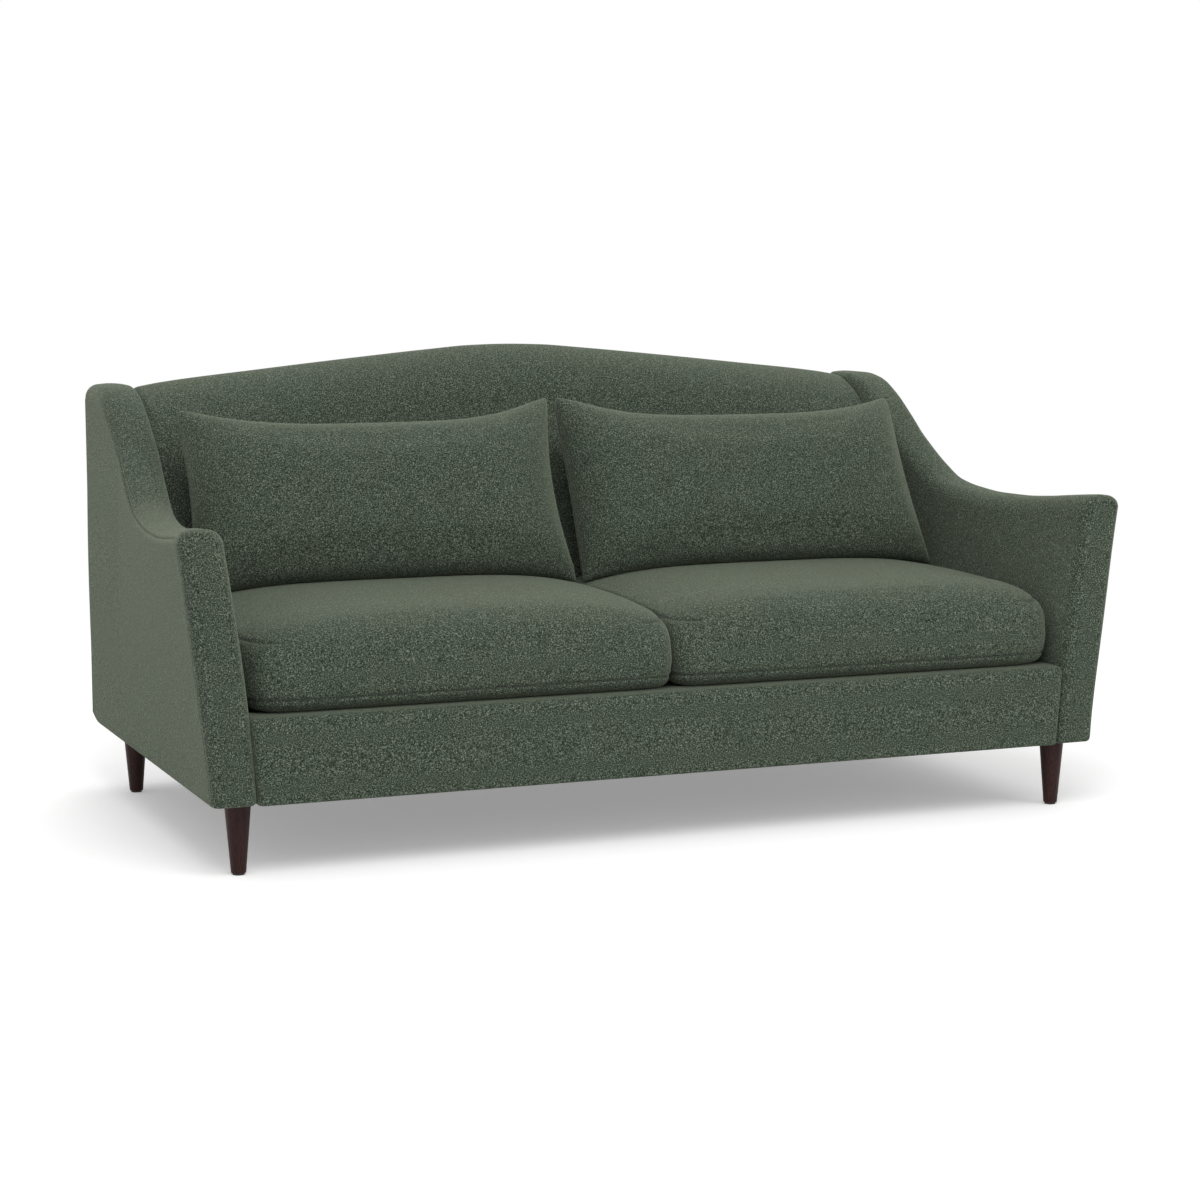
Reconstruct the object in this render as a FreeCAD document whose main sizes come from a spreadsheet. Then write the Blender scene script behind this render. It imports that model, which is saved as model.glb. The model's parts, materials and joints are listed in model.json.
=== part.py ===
import FreeCAD, Part
import math
import os

import Sketcher
from FreeCAD import Rotation, Vector

# Two-seat-cushion camel-back sofa, its arms sweeping down from the back and flaring at the front.
# Frame of the part: X across (viewer's right), Y from front to rear, Z up, floor at Z = 0,
# origin under the middle of the body.

doc = FreeCAD.newDocument("Sofa")
sheet = doc.addObject("Spreadsheet::Sheet", "Sizes")

SIZES = (
    ("body_span", 1906, "across the body at its foot and at the rear"),
    ("body_deep", 1068, "front border to outside back"),
    ("hump_high", 962, "top of the camel back"),
    ("leg_high", 142, "floor to the underside of the body"),
    ("arm_thick", 89, "thickness of a covered arm"),
    ("arm_flare", 47, "arm front, leaning out at its top"),
    ("arm_low_high", 639, "lowest point of the arm top"),
    ("arm_rear_high", 884, "arm top where it meets the outside back"),
    ("arm_front_out_round", 14, "outer top edge of the arm at the front"),
    ("arm_front_in_round", 46, "inner top edge of the arm at the front"),
    ("arm_rear_out_round", 30, "outer top edge of the arm at the rear"),
    ("arm_rear_in_round", 26, "inner top edge of the arm at the rear"),
    ("arm_nose_round", 12, "soft corner round the front face of the arm"),
    ("arm_pad_thick", 16, "fibre wadding and cover of the arm"),
    ("arm_seam_drop", 20, "seam of the outside arm below the arm top"),
    ("arm_seam_back", 14, "seam of the outside arm behind the arm front"),
    ("least_round", 3, "smallest edge radius inside the padding"),
    ("panel_thick", 5, "outside back, card and cover"),
    ("panel_drop", 6.5, "outside back below the arm top"),
    ("back_side_high", 877, "back top beside the arms"),
    ("back_deep", 396, "outside back to the foot of the inside back"),
    ("back_bend_high", 455, "height where the inside back starts to rake"),
    ("rake_run", 151, "inside back, rearward travel of the rake"),
    ("rake_rise", 295, "inside back, height of the rake beside the arms"),
    ("roll_crest_deep", 78, "outside back to the crest of the top roll"),
    ("roll_swell", 23, "fullness of the top roll over its chord"),
    ("roll_fall", 13, "fall of the top roll at the outside back"),
    ("back_end_round", 12, "soft end of the back pad beside the arm"),
    ("back_pad_thick", 45, "foam and cover of the inside back"),
    ("rail_thick", 25, "hardwood rails and plywood brackets"),
    ("rail_high", 136, "height of the seat rails"),
    ("centre_dip", 60, "centre rail hollowed below the webbing"),
    ("centre_hollow_round", 900, "radius of that hollow"),
    ("top_rail_high", 90, "camel-shaped top rail"),
    ("roll_rail_high", 60, "rail under the top roll"),
    ("arm_rail_high", 45, "swept top rail of the arm"),
    ("post_deep", 40, "front and rear posts of the arm"),
    ("cloth_thick", 1.5, "dust cover under the body"),
    ("strap_wide", 60, "elastic webbing"),
    ("strap_ease", 8, "beside a crossing, before the strap turns"),
    ("long_strap_margin", 75, "outermost strap to the side rail"),
    ("cross_strap_margin", 86.5, "first and last cross strap to the rails"),
    ("back_strap_margin", 195, "outermost upright strap to the arm"),
    ("back_strap_foot", 80, "upright straps down behind the foot rail"),
    ("strap_thick", 2, "elastic webbing"),
    ("deck_thick", 22, "felt pad and platform cloth"),
    ("border_thick", 29, "padded front border"),
    ("border_lip", 40, "lip of the front border over the rail"),
    ("border_round", 11, "soft edges of the front border"),
    ("leg_in", 64, "leg centre in from the body side"),
    ("front_leg_in", 56, "front leg centre behind the body front"),
    ("rear_leg_in", 143, "rear leg centre before the outside back"),
    ("leg_top_round", 26, "radius of the leg at the body"),
    ("leg_foot_round", 14.5, "radius of the leg at the floor"),
    ("leg_edge", 1.5, "eased foot of the leg"),
    ("glide_thick", 3, "nylon glide under the leg"),
    ("glide_round", 11.5, "radius of the glide"),
    ("block_high", 40, "leg block"),
    ("block_deep", 88, "leg block, front to rear"),
    ("stud_round", 4, "radius of the hanger bolt"),
    ("stud_in_leg", 34, "hanger bolt, length in the leg"),
    ("stud_in_block", 36, "hanger bolt, length in the block"),
    ("nut_round", 6, "radius of the threaded nut in the leg block"),
    ("nut_high", 14, "threaded nut in the leg block"),
    ("cover_thick", 12, "cushion cover with its wadding"),
    ("seat_front_in", 10, "seat cushion front behind the border front"),
    ("seat_rear_gap", 6, "seat cushion to inside back"),
    ("seat_crown_high", 496, "crown of the seat cushion"),
    ("seat_crown", 38, "fall of the crown to the cushion ends"),
    ("seat_nose_deep", 150, "rounded front of the seat cushion"),
    ("seat_nose_high", 94, "rounded front of the seat cushion"),
    ("seat_face_swell", 4, "fullness of the seat cushion front"),
    ("seat_foot_round", 34, "lower front edge of the seat cushion"),
    ("seat_tail_round", 38, "upper rear edge of the seat cushion"),
    ("seat_heel_round", 14, "lower rear edge of the seat cushion"),
    ("seat_outer_draw", 54, "plan rounding at the arm end"),
    ("seat_inner_draw", 28, "plan rounding at the middle"),
    ("seat_foot_draw", 12, "underside lifted at the cushion ends"),
    ("pillow_inner", 9, "back cushion's inner edge from the middle"),
    ("pillow_foot_clear", 11, "back cushion's lower outer corner to the arm"),
    ("pillow_top_clear", 38, "back cushion's upper outer corner to the arm"),
    ("pillow_foot_ahead", 132, "back cushion's lower seam before the inside back"),
    ("pillow_lean", 168, "back cushion's upper seam behind its lower one"),
    ("pillow_top_high", 842, "upper corners of the back cushion"),
    ("pillow_top_draw", 31, "drawn-in upper edge of the back cushion"),
    ("pillow_side_draw", 7, "drawn-in sides of the back cushion"),
    ("pillow_swell", 92, "fullness of the back cushion's front"),
    ("pillow_edge", 9, "seam thickness of the back cushion"),
    ("pillow_lift", 1.4, "back cushion's seam over the crown of the seat"),
    ("zip_long", 620, "zip in the rear of the seat cushion"),
    ("zip_rise", 46, "zip above the underside of the cushion"),
    ("zip_tape_wide", 26, "zip tape"),
    ("zip_tape_thick", 0.8, "zip tape"),
    ("zip_chain_wide", 6, "zip chain"),
    ("zip_chain_thick", 1.4, "zip chain"),
    ("slider_long", 11, "zip slider"),
    ("slider_wide", 9, "zip slider"),
    ("slider_wall", 0.9, "wing of the zip slider"),
    ("pull_long", 24, "pull tab of the slider"),
    ("pull_wide", 5, "pull tab of the slider"),
    ("touch_gap", 0.3, "between a piece and what it rests on"),
    ("side_gap", 0.6, "between the cushions and what stands beside them"),
    ("bolt_play", 0.3, "round a bolt in its hole"),
    ("overrun", 20, "how far a cutting shape passes the surface"),
)

for row, (alias, value, note) in enumerate(SIZES, start=1):
    sheet.set(f"A{row}", note)
    sheet.set(f"B{row}", str(value))
    sheet.setAlias(f"B{row}", alias)
doc.recompute()


class Size:
    """A length of the sheet, or a sum or multiple of such, as a number and as a formula."""

    def __init__(self, value, text):
        self.value = value
        self.text = text

    def __add__(self, other):
        return Size(self.value + number(other), f"({self.text} + {formula(other)})")

    def __sub__(self, other):
        return Size(self.value - number(other), f"({self.text} - {formula(other)})")

    def __mul__(self, factor):
        return Size(self.value * factor, f"({self.text} * {factor})")

    def __truediv__(self, divisor):
        return Size(self.value / divisor, f"({self.text} / {divisor})")

    def __neg__(self):
        return Size(-self.value, f"(0 mm - {self.text})")


def number(size):
    return size.value if isinstance(size, Size) else size


def formula(size):
    return size.text if isinstance(size, Size) else f"{size} mm"


def size(alias):
    return Size(float(sheet.get(alias)), f"Sizes.{alias} * 1 mm")


def mm(alias):
    return float(sheet.get(alias))


pieces = []


def keep(piece, label):
    """Name a finished piece and put it on the list of what is written."""
    piece.Label = label
    pieces.append(piece)
    return piece


def bind(thing, **places):
    """Tie properties of an object to formulas of the sheet."""
    for name, length in places.items():
        thing.setExpression(name.replace("_", "."), formula(length))


def place(thing, x, y, z):
    """Tie the place of an object to formulas of the sheet."""
    thing.setExpression("Placement.Base.x", formula(x))
    thing.setExpression("Placement.Base.y", formula(y))
    thing.setExpression("Placement.Base.z", formula(z))


def shaped(label, shape):
    """A piece whose free form is worked out here."""
    piece = doc.addObject("Part::Feature", label)
    piece.Shape = shape
    return keep(piece, label)


# Heights and planes that more than one piece shares

side = size("body_span") / 2
front = -(size("body_deep") / 2)
rear = size("body_deep") / 2
rear_face = rear - size("panel_thick")
floor_line = size("leg_high")
frame_low = floor_line + size("cloth_thick")
rail_top = frame_low + size("rail_high")
web_top = rail_top + size("strap_thick") * 2
deck_top = web_top + size("deck_thick")
arm_inside = side - size("arm_thick")
cavity_side = arm_inside + size("arm_pad_thick")
rail_inside = cavity_side - size("rail_thick")
rail_front = front + size("border_thick")
rail_behind = rail_front + size("rail_thick")
back_foot = rear - size("back_deep")
seat_rail_rear = back_foot + size("back_pad_thick")
seat_rail_front = seat_rail_rear - size("rail_thick")
leg_x = side - size("leg_in")
leg_front_y = front + size("front_leg_in")
leg_rear_y = rear - size("rear_leg_in")

FLAT_SHARE = 1e-6


def point(x, y, z):
    return Vector(number(x), number(y), number(z))


def bent(start, middle, end):
    """An arc through three points, or the line when they lie in line."""
    twice_area = (middle - start).cross(end - start).Length
    if twice_area < FLAT_SHARE * (end - start).Length ** 2:
        return Part.makeLine(start, end)
    return Part.Arc(start, middle, end).toShape()


# Chords for each curve: none where the arc itself is kept
ARC_COUNT = 0
PLAIN_COUNT = 2
CUSHION_COUNT = 3


def curve(start, middle, end, chord_count):
    """The arc through three points, or that many chords of it."""
    whole = bent(start, middle, end)
    if chord_count == ARC_COUNT:
        return [whole]
    spots = whole.discretize(chord_count + 1)
    return [Part.makeLine(a, b) for a, b in zip(spots, spots[1:])]


def flat_faces(near, near_after, far_after, far):
    """The face between four corners, or its two halves where they don't lie in one plane."""
    square_to = (near_after - near).cross(far_after - near)
    off = abs(square_to.dot(far - near))
    if off < FLAT_SHARE * square_to.Length * (far_after - near).Length:
        corners = [[near, near_after, far_after, far, near]]
    else:
        corners = [[near, near_after, far_after, near], [near, far_after, far, near]]
    return [Part.Face(Part.makePolygon(outline)) for outline in corners]


def ringed(rings):
    """A solid of flat faces between rings with the same number of corners."""
    faces = [Part.Face(Part.makePolygon(ring + ring[:1])) for ring in (rings[0], rings[-1])]
    for ring, after in zip(rings, rings[1:]):
        for index, spot in enumerate(ring):
            beside = (index + 1) % len(ring)
            faces += flat_faces(spot, ring[beside], after[beside], after[index])
    shell = Part.makeShell(faces)
    shell.sewShape()
    solid = Part.makeSolid(shell)
    if solid.Volume < 0:
        solid.reverse()
    return solid


def joined(wires, chord_count):
    """A solid through sections: smooth where they keep their arcs, flat between chords."""
    if chord_count == ARC_COUNT:
        return Part.makeLoft(wires, True, True)
    return ringed([[corner.Point for corner in wire.OrderedVertexes] for wire in wires])


def slab(x0, x1, y0, y1, z0, z1):
    """A block between three pairs of planes."""
    corner = point(x0, y0, z0)
    far = point(x1, y1, z1)
    across = far - corner
    return Part.makeBox(across.x, across.y, across.z, corner)


def mirrored(shape):
    return shape.mirror(Vector(0, 0, 0), Vector(1, 0, 0))


# Arms: sections across the arm, lofted from the flared front to the plumb rear

# Along the arm, front to rear, and the height between the low point and the rear top
ARM_TOP_SHARES = (
    (0.030, 0.082),
    (0.100, 0.060),
    (0.180, 0.025),
    (0.265, 0.003),
    (0.360, 0.000),
    (0.450, 0.026),
    (0.530, 0.082),
    (0.600, 0.215),
    (0.680, 0.420),
    (0.755, 0.640),
    (0.820, 0.820),
    (0.875, 0.935),
    (0.930, 0.988),
    (1.000, 1.000),
)
# Places along the arm where the padding's inner face and the frame run straight on
STRAIGHT_SHARES = (0.030, 0.100, 0.265, 0.680)
LEAN_END_SHARE = 0.70
LEAN_CURVE = 1.35
HALF_TURN_SHARE = math.sqrt(0.5)
# Behind the nose, and how much of the nose rounding is left there
NOSE_SHARES = ((0.0, 1.0), (0.3, 0.3))


def arm_lean(along_share):
    """How far the arm top leans outward at this place along the arm."""
    return mm("arm_flare") * max(0.0, 1 - along_share / LEAN_END_SHARE)


def arm_chords(inset):
    return PLAIN_COUNT if inset >= mm("arm_pad_thick") else ARC_COUNT


def arm_section(y, along_share, high_share, inset, past_foot):
    """The outline of the arm across X and Z, drawn in by the inset, and run on below its foot."""
    foot = mm("leg_high")
    low_top = mm("arm_low_high")
    top = low_top + high_share * (mm("arm_rear_high") - low_top)
    lean = arm_lean(along_share)

    def blended(front_size, rear_size):
        return mm(front_size) + high_share * (mm(rear_size) - mm(front_size))

    out_full = blended("arm_front_out_round", "arm_rear_out_round")
    in_full = blended("arm_front_in_round", "arm_rear_in_round")
    out_round = max(out_full - inset, mm("least_round"))
    in_round = max(in_full - inset, mm("least_round"))

    def leaned(z):
        share = max(0.0, z - foot) / (top - out_full - foot)
        return lean * share ** LEAN_CURVE

    outer = number(side) - inset
    inner = number(arm_inside) + inset
    high = top - inset
    out_z = high - out_round
    in_z = high - in_round
    out_mid = (foot + out_z) / 2
    in_mid = (foot + in_z) / 2
    out_foot = Vector(outer, y, foot)
    out_side = Vector(outer + leaned(out_z), y, out_z)
    out_centre = out_side - Vector(out_round, 0, 0)
    out_top = out_centre + Vector(0, 0, out_round)
    in_side = Vector(inner + leaned(in_z), y, in_z)
    in_centre = in_side + Vector(in_round, 0, 0)
    in_top = in_centre + Vector(0, 0, in_round)
    in_foot = Vector(inner, y, foot)
    slant = HALF_TURN_SHARE
    out_turn = out_centre + Vector(out_round * slant, 0, out_round * slant)
    in_turn = in_centre + Vector(-in_round * slant, 0, in_round * slant)
    chords = arm_chords(inset)
    edges = [
        *curve(out_foot, Vector(outer + leaned(out_mid), y, out_mid), out_side, chords),
        *curve(out_side, out_turn, out_top, chords),
        Part.makeLine(out_top, in_top),
        *curve(in_top, in_turn, in_side, chords),
        *curve(in_side, Vector(inner + leaned(in_mid), y, in_mid), in_foot, chords),
    ]
    drop = Vector(0, 0, -past_foot)
    if past_foot:
        edges.append(Part.makeLine(in_foot, in_foot + drop))
    edges.append(Part.makeLine(in_foot + drop, out_foot + drop))
    if past_foot:
        edges.append(Part.makeLine(out_foot + drop, out_foot))
    return Part.Wire(edges)


def arm_form(inset, past=0):
    """The right arm as one solid, drawn in on every side but the foot and rear, which may run on."""
    run = number(rear_face) - number(front)
    nose = mm("arm_nose_round")
    start = number(front) + inset
    first_high = ARM_TOP_SHARES[0][1]
    sections = []
    if inset == 0:
        for along, left in NOSE_SHARES:
            sections.append(arm_section(start + nose * along, 0, first_high, nose * left, past))
        sections.append(arm_section(start + nose, 0, first_high, 0, past))
    else:
        sections.append(arm_section(start, 0, first_high, inset, past))
    for along, high in ARM_TOP_SHARES:
        y = number(front) + along * run
        bends = not inset or along not in STRAIGHT_SHARES
        if bends and y > start + nose:
            sections.append(arm_section(y, along, high, inset, past))
    if past:
        sections.append(arm_section(number(rear_face) + past, 1, 1, inset, past))
    return joined(sections, arm_chords(inset))


def under_arm_top(drop, y0, y1, z0):
    """Everything beneath the arm's top line, lowered by the drop."""
    run = number(rear_face) - number(front)
    low_top = mm("arm_low_high")
    rise = mm("arm_rear_high") - low_top
    inner = number(arm_inside) - mm("overrun")
    across = number(side) + mm("arm_flare") + mm("overrun") - inner

    def top_at(y):
        share = (y - number(front)) / run
        before = ARM_TOP_SHARES[0]
        for after in ARM_TOP_SHARES:
            if share <= after[0]:
                break
            before = after
        gap = after[0] - before[0]
        step = min(1.0, max(0.0, (share - before[0]) / gap)) if gap else 0.0
        return low_top + rise * (before[1] + step * (after[1] - before[1])) - drop

    line = [Vector(inner, y0, z0), Vector(inner, y0, top_at(y0))]
    for along, _ in ARM_TOP_SHARES:
        y = number(front) + along * run
        if y0 < y < y1:
            line.append(Vector(inner, y, top_at(y)))
    line += [Vector(inner, y1, top_at(y1)), Vector(inner, y1, z0)]
    outline = Part.makePolygon(line + line[:1])
    return Part.Face(outline).extrude(Vector(across, 0, 0))


def build_arms():
    foot = number(floor_line)
    past = mm("overrun")
    pad = mm("arm_pad_thick")
    gap = mm("touch_gap")
    outer_form = arm_form(0)
    cavity = arm_form(pad, past)
    wall = outer_form.cut(cavity)
    middle_x = (number(arm_inside) + number(side)) / 2

    seam_front = number(front) + mm("arm_seam_back")
    outside = under_arm_top(mm("arm_seam_drop"), seam_front, number(rear_face) + past, foot - past)
    reach = mm("body_span")
    outer_half = slab(middle_x, reach, front - past, rear + past, foot - past, reach)
    outside = outside.common(outer_half)
    outside_arm = wall.common(outside)
    cover = wall.cut(outside)
    under_deck = slab(arm_inside - past, middle_x, rail_front, rear + past, foot - past, web_top)
    cover = cover.cut(under_deck)

    core = arm_form(pad + gap)
    post_back = number(front) + pad + gap + mm("post_deep")
    rear_front = number(rear_face) - mm("post_deep")
    block_top = number(frame_low) + mm("block_high")
    everywhere = (arm_inside - past, reach)
    front_zone = slab(*everywhere, front, post_back, block_top, reach)
    front_post = core.common(front_zone)
    rear_zone = slab(*everywhere, rear_front, rear_face, frame_low, reach)
    rear_post = core.common(rear_zone)
    lowered = pad + mm("arm_rail_high")
    below = under_arm_top(lowered, number(front), number(rear_face) + past, foot - past)
    rail_zone = slab(*everywhere, post_back, rear_front, block_top, reach)
    top_rail = core.common(rail_zone).cut(below)

    named = (
        ("arm_cover", cover),
        ("outside_arm", outside_arm),
        ("arm_front_post", front_post),
        ("arm_rear_post", rear_post),
        ("arm_top_rail", top_rail),
    )
    for name, shape in named:
        shaped(f"right_{name}", shape)
        shaped(f"left_{name}", mirrored(shape))


# Back: sections from front to rear, lofted across the camel top line

# Across, from the middle to the arm, and the rise of the top line between the arm and the hump
CAMEL_SHARES = (
    (0.00, 1.000),
    (0.10, 0.975),
    (0.20, 0.893),
    (0.43, 0.670),
    (0.68, 0.405),
    (0.93, 0.118),
)
ROLL_REAR_SHARE = 0.6
ROLL_REAR_FALL_SHARE = 0.25


def camel_rise(high_share):
    return high_share * (mm("hump_high") - mm("back_side_high"))


def lowest_rise():
    """Where the straight rail and the straps of the back have to stay under the top line."""
    return min(0.0, camel_rise(1))


def back_face(rise, inset):
    """Foot, bend and top of the raked inside back, and the crest of its roll, as Y and Z."""
    slope = mm("rake_run") / mm("rake_rise")
    slant = math.hypot(1, slope)
    foot_y = number(back_foot) + inset
    bend_z = mm("back_bend_high") - inset * (slant - 1) / slope
    top_y = number(back_foot) + mm("rake_run") + slope * rise + inset / slant
    top_z = mm("back_bend_high") + mm("rake_rise") + rise - inset * slope / slant
    crest_y = number(rear) - mm("roll_crest_deep")
    crest_z = mm("back_side_high") + rise - inset
    return (foot_y, bend_z), (top_y, top_z), (crest_y, crest_z)


def back_chords(inset):
    return PLAIN_COUNT if inset >= mm("back_pad_thick") else ARC_COUNT


def back_section(x, rise, inset, low, rear_y):
    """The outline of the back across Y and Z, drawn in by the inset."""
    (foot_y, bend_z), (top_y, top_z), (crest_y, crest_z) = back_face(rise, inset)
    foot = Vector(x, foot_y, low)
    bend = Vector(x, foot_y, bend_z)
    top = Vector(x, top_y, top_z)
    crest = Vector(x, crest_y, crest_z)
    chord = crest - top
    outward = Vector(0, -chord.z, chord.y).normalize()
    roll = (top + crest) * 0.5 + outward * mm("roll_swell")
    fall = mm("roll_fall")
    behind = crest + (Vector(x, rear_y, crest_z) - crest) * ROLL_REAR_SHARE
    behind.z -= fall * ROLL_REAR_FALL_SHARE
    edge = Vector(x, rear_y, crest_z - fall)
    heel = Vector(x, rear_y, low)
    chords = back_chords(inset)
    return Part.Wire([
        Part.makeLine(foot, bend),
        Part.makeLine(bend, top),
        *curve(top, roll, crest, chords),
        *curve(crest, behind, edge, chords),
        Part.makeLine(edge, heel),
        Part.makeLine(heel, foot),
    ])


def back_form(inset, low, end_round, past_end=0, past_rear=0):
    """The back between the arms as one solid."""
    half = number(arm_inside) - mm("side_gap")
    rear_y = number(rear_face) + past_rear
    sections = []
    for along, high in CAMEL_SHARES:
        sections.append((along * half, camel_rise(high), inset))
    if end_round:
        sections.append((half - end_round, 0, inset))
        for along, left in reversed(NOSE_SHARES):
            sections.append((half - end_round * along, 0, inset + end_round * left))
    else:
        sections.append((half + past_end, 0, inset))
    sections = [(-x, rise, drawn) for x, rise, drawn in reversed(sections[1:])] + sections
    wires = [back_section(x, rise, drawn, low, rear_y) for x, rise, drawn in sections]
    return joined(wires, back_chords(inset))


def build_back():
    past = mm("overrun")
    gap = mm("touch_gap")
    pad = mm("back_pad_thick")
    strap = mm("strap_thick")
    low = number(web_top) + gap
    outer_form = back_form(0, low, mm("back_end_round"))
    cavity = back_form(pad, low - past, 0, past, past)
    shaped("inside_back_pad", outer_form.cut(cavity))

    behind_straps = pad + gap + strap + gap
    core = back_form(behind_straps, number(frame_low), 0)
    half = number(rail_inside)
    rail = mm("rail_thick")
    reach = mm("body_span")
    rail_y = number(rear_face) - rail
    top_rail = core.common(slab(-half, half, rail_y, rear_face, frame_low, reach))
    top_rail = top_rail.cut(camel_under(mm("top_rail_high") + behind_straps))
    shaped("back_top_rail", top_rail)

    top_y, top_z = back_face(lowest_rise(), behind_straps)[1]
    roll_rail = Part.makeBox(2 * half, rail, mm("roll_rail_high"))
    lean = math.degrees(math.atan2(mm("rake_run"), mm("rake_rise")))
    roll_rail.translate(Vector(-half, 0, -mm("roll_rail_high")))
    roll_rail.rotate(Vector(0, 0, 0), Vector(1, 0, 0), -lean)
    roll_rail.translate(Vector(0, top_y, top_z))
    shaped("back_roll_rail", roll_rail)

    fillers = [top_rail, roll_rail, slab(-reach, reach, rail_y, rear, frame_low - past, rail_top)]
    places = (
        ("left_back_bracket", -half),
        ("centre_back_bracket", -rail / 2),
        ("right_back_bracket", half - rail),
    )
    for name, x in places:
        bracket = core.common(slab(x, x + rail, front, rear_face, frame_low, reach))
        for filler in fillers:
            bracket = bracket.cut(filler)
        shaped(name, bracket)


def camel_under(drop):
    """Everything beneath the back's top line, lowered by the drop."""
    half = number(arm_inside)
    past = mm("overrun")
    low = number(frame_low) - past
    y = number(rear_face) - mm("rail_thick") - past
    line = [Vector(half, y, mm("back_side_high") - drop), Vector(half, y, low)]
    line += [Vector(-half, y, low), Vector(-half, y, mm("back_side_high") - drop)]
    tops = [(-along, high) for along, high in reversed(CAMEL_SHARES[1:])] + list(CAMEL_SHARES)
    for along, high in tops:
        line.append(Vector(along * half, y, mm("back_side_high") + camel_rise(high) - drop))
    outline = Part.makePolygon(line + line[:1])
    return Part.Face(outline).extrude(Vector(0, mm("rail_thick") + 2 * past, 0))

# Seat frame: boards bound to the sheet


def board(label, x0, x1, y0, y1, z0, z1):
    """A box between three pairs of planes."""
    rail = doc.addObject("Part::Box", label)
    bind(rail, Length=x1 - x0, Width=y1 - y0, Height=z1 - z0)
    place(rail, x0, y0, z0)
    return rail


def build_rails():
    rear_rail = rear_face - size("rail_thick")
    spans = (
        ("front_seat_rail", -cavity_side, cavity_side, rail_front, rail_behind),
        ("rear_seat_rail", -cavity_side, cavity_side, rear_rail, rear_face),
        ("right_seat_rail", rail_inside, cavity_side, rail_behind, rear_rail),
        ("left_seat_rail", -cavity_side, -rail_inside, rail_behind, rear_rail),
        ("back_foot_rail", -rail_inside, rail_inside, seat_rail_front, seat_rail_rear),
    )
    for name, x0, x1, y0, y1 in spans:
        keep(board(name, x0, x1, y0, y1, frame_low, rail_top), name)

    half = size("rail_thick") / 2
    top = rail_top - size("strap_thick") * 2
    plank = board("centre_plank", -half, half, rail_behind, seat_rail_front, frame_low, top)
    hollow = doc.addObject("Part::Cylinder", "centre_hollow")
    bind(hollow, Radius=size("centre_hollow_round"), Height=size("rail_thick") * 2)
    hollow.Placement.Rotation = Rotation(Vector(0, 1, 0), 90)
    middle = (rail_behind + seat_rail_front) / 2
    place(hollow, -size("rail_thick"), middle, rail_top - size("centre_dip") + size("centre_hollow_round"))
    rail = doc.addObject("Part::Cut", "centre_seat_rail")
    rail.Base = plank
    rail.Tool = hollow
    keep(rail, "centre_seat_rail")


# Suspension: interlaced elastic webbing, the platform over it, and the straps of the back

LONG_STRAP_COUNT = 11
CROSS_STRAP_COUNT = 4
BACK_STRAP_COUNT = 8


def strap_places(count, start, end, margin):
    """Middles of evenly spread straps, the outer ones this far from both ends."""
    first = number(start) + margin + mm("strap_wide") / 2
    last = number(end) - margin - mm("strap_wide") / 2
    return [first + index * (last - first) / (count - 1) for index in range(count)]


def build_seat_straps():
    wide = mm("strap_wide")
    thick = mm("strap_thick")
    top = number(rail_top)
    long_x = strap_places(LONG_STRAP_COUNT, -rail_inside, rail_inside, mm("long_strap_margin"))
    cross_y = strap_places(
        CROSS_STRAP_COUNT, rail_behind, seat_rail_front, mm("cross_strap_margin"))
    straps = []
    for x in long_x:
        straps.append(slab(x - wide / 2, x + wide / 2, rail_front, seat_rail_rear, top, top + thick))
    shaped("long_seat_straps", Part.makeCompound(straps))

    end = number(cavity_side)
    flat = wide / 2 + mm("strap_ease")
    straps = []
    for row, y in enumerate(cross_y):
        lower = [(-end, top), (-number(rail_inside), top)]
        for column, x in enumerate(long_x):
            height = top + thick if (row + column) % 2 == 0 else top - thick
            lower += [(x - flat, height), (x + flat, height)]
        lower += [(number(rail_inside), top), (end, top)]
        upper = [(x, z + thick) for x, z in reversed(lower)]
        line = [Vector(x, y - wide / 2, z) for x, z in lower + upper]
        outline = Part.makePolygon(line + line[:1])
        straps.append(Part.Face(outline).extrude(Vector(0, wide, 0)))
    shaped("cross_seat_straps", Part.makeCompound(straps))


def build_deck():
    reach = arm_inside - size("touch_gap")
    lip_end = rail_front + size("border_lip") + size("touch_gap")
    deck_rear = back_foot - size("touch_gap")
    deck = board("seat_platform", -reach, reach, lip_end, deck_rear, web_top, deck_top)
    keep(deck, "seat_platform")


def build_back_straps():
    wide = mm("strap_wide")
    near = mm("back_pad_thick") + mm("touch_gap")
    low = number(rail_top) - mm("back_strap_foot")
    fronts = back_face(lowest_rise(), near)[:2]
    backs = back_face(lowest_rise(), near + mm("strap_thick"))[:2]
    side_line = [(fronts[0][0], low), *fronts, backs[1], backs[0], (backs[0][0], low)]
    straps = []
    strap_x = strap_places(BACK_STRAP_COUNT, -rail_inside, rail_inside, mm("back_strap_margin"))
    for x in strap_x:
        line = [Vector(x - wide / 2, y, z) for y, z in side_line]
        outline = Part.makePolygon(line + line[:1])
        straps.append(Part.Face(outline).extrude(Vector(wide, 0, 0)))
    shaped("back_straps", Part.makeCompound(straps))


# Legs: turned and tapered, each screwed by a hanger bolt into a nut in its block


def sketch_on(body, role, label):
    """A sketch on one of the body's own origin planes."""
    plane = [face for face in body.Origin.OriginFeatures if face.Role == role][0]
    sketch = body.newObject("Sketcher::SketchObject", label)
    sketch.AttachmentSupport = [(plane, "")]
    sketch.MapMode = "FlatFace"
    return sketch


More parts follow.
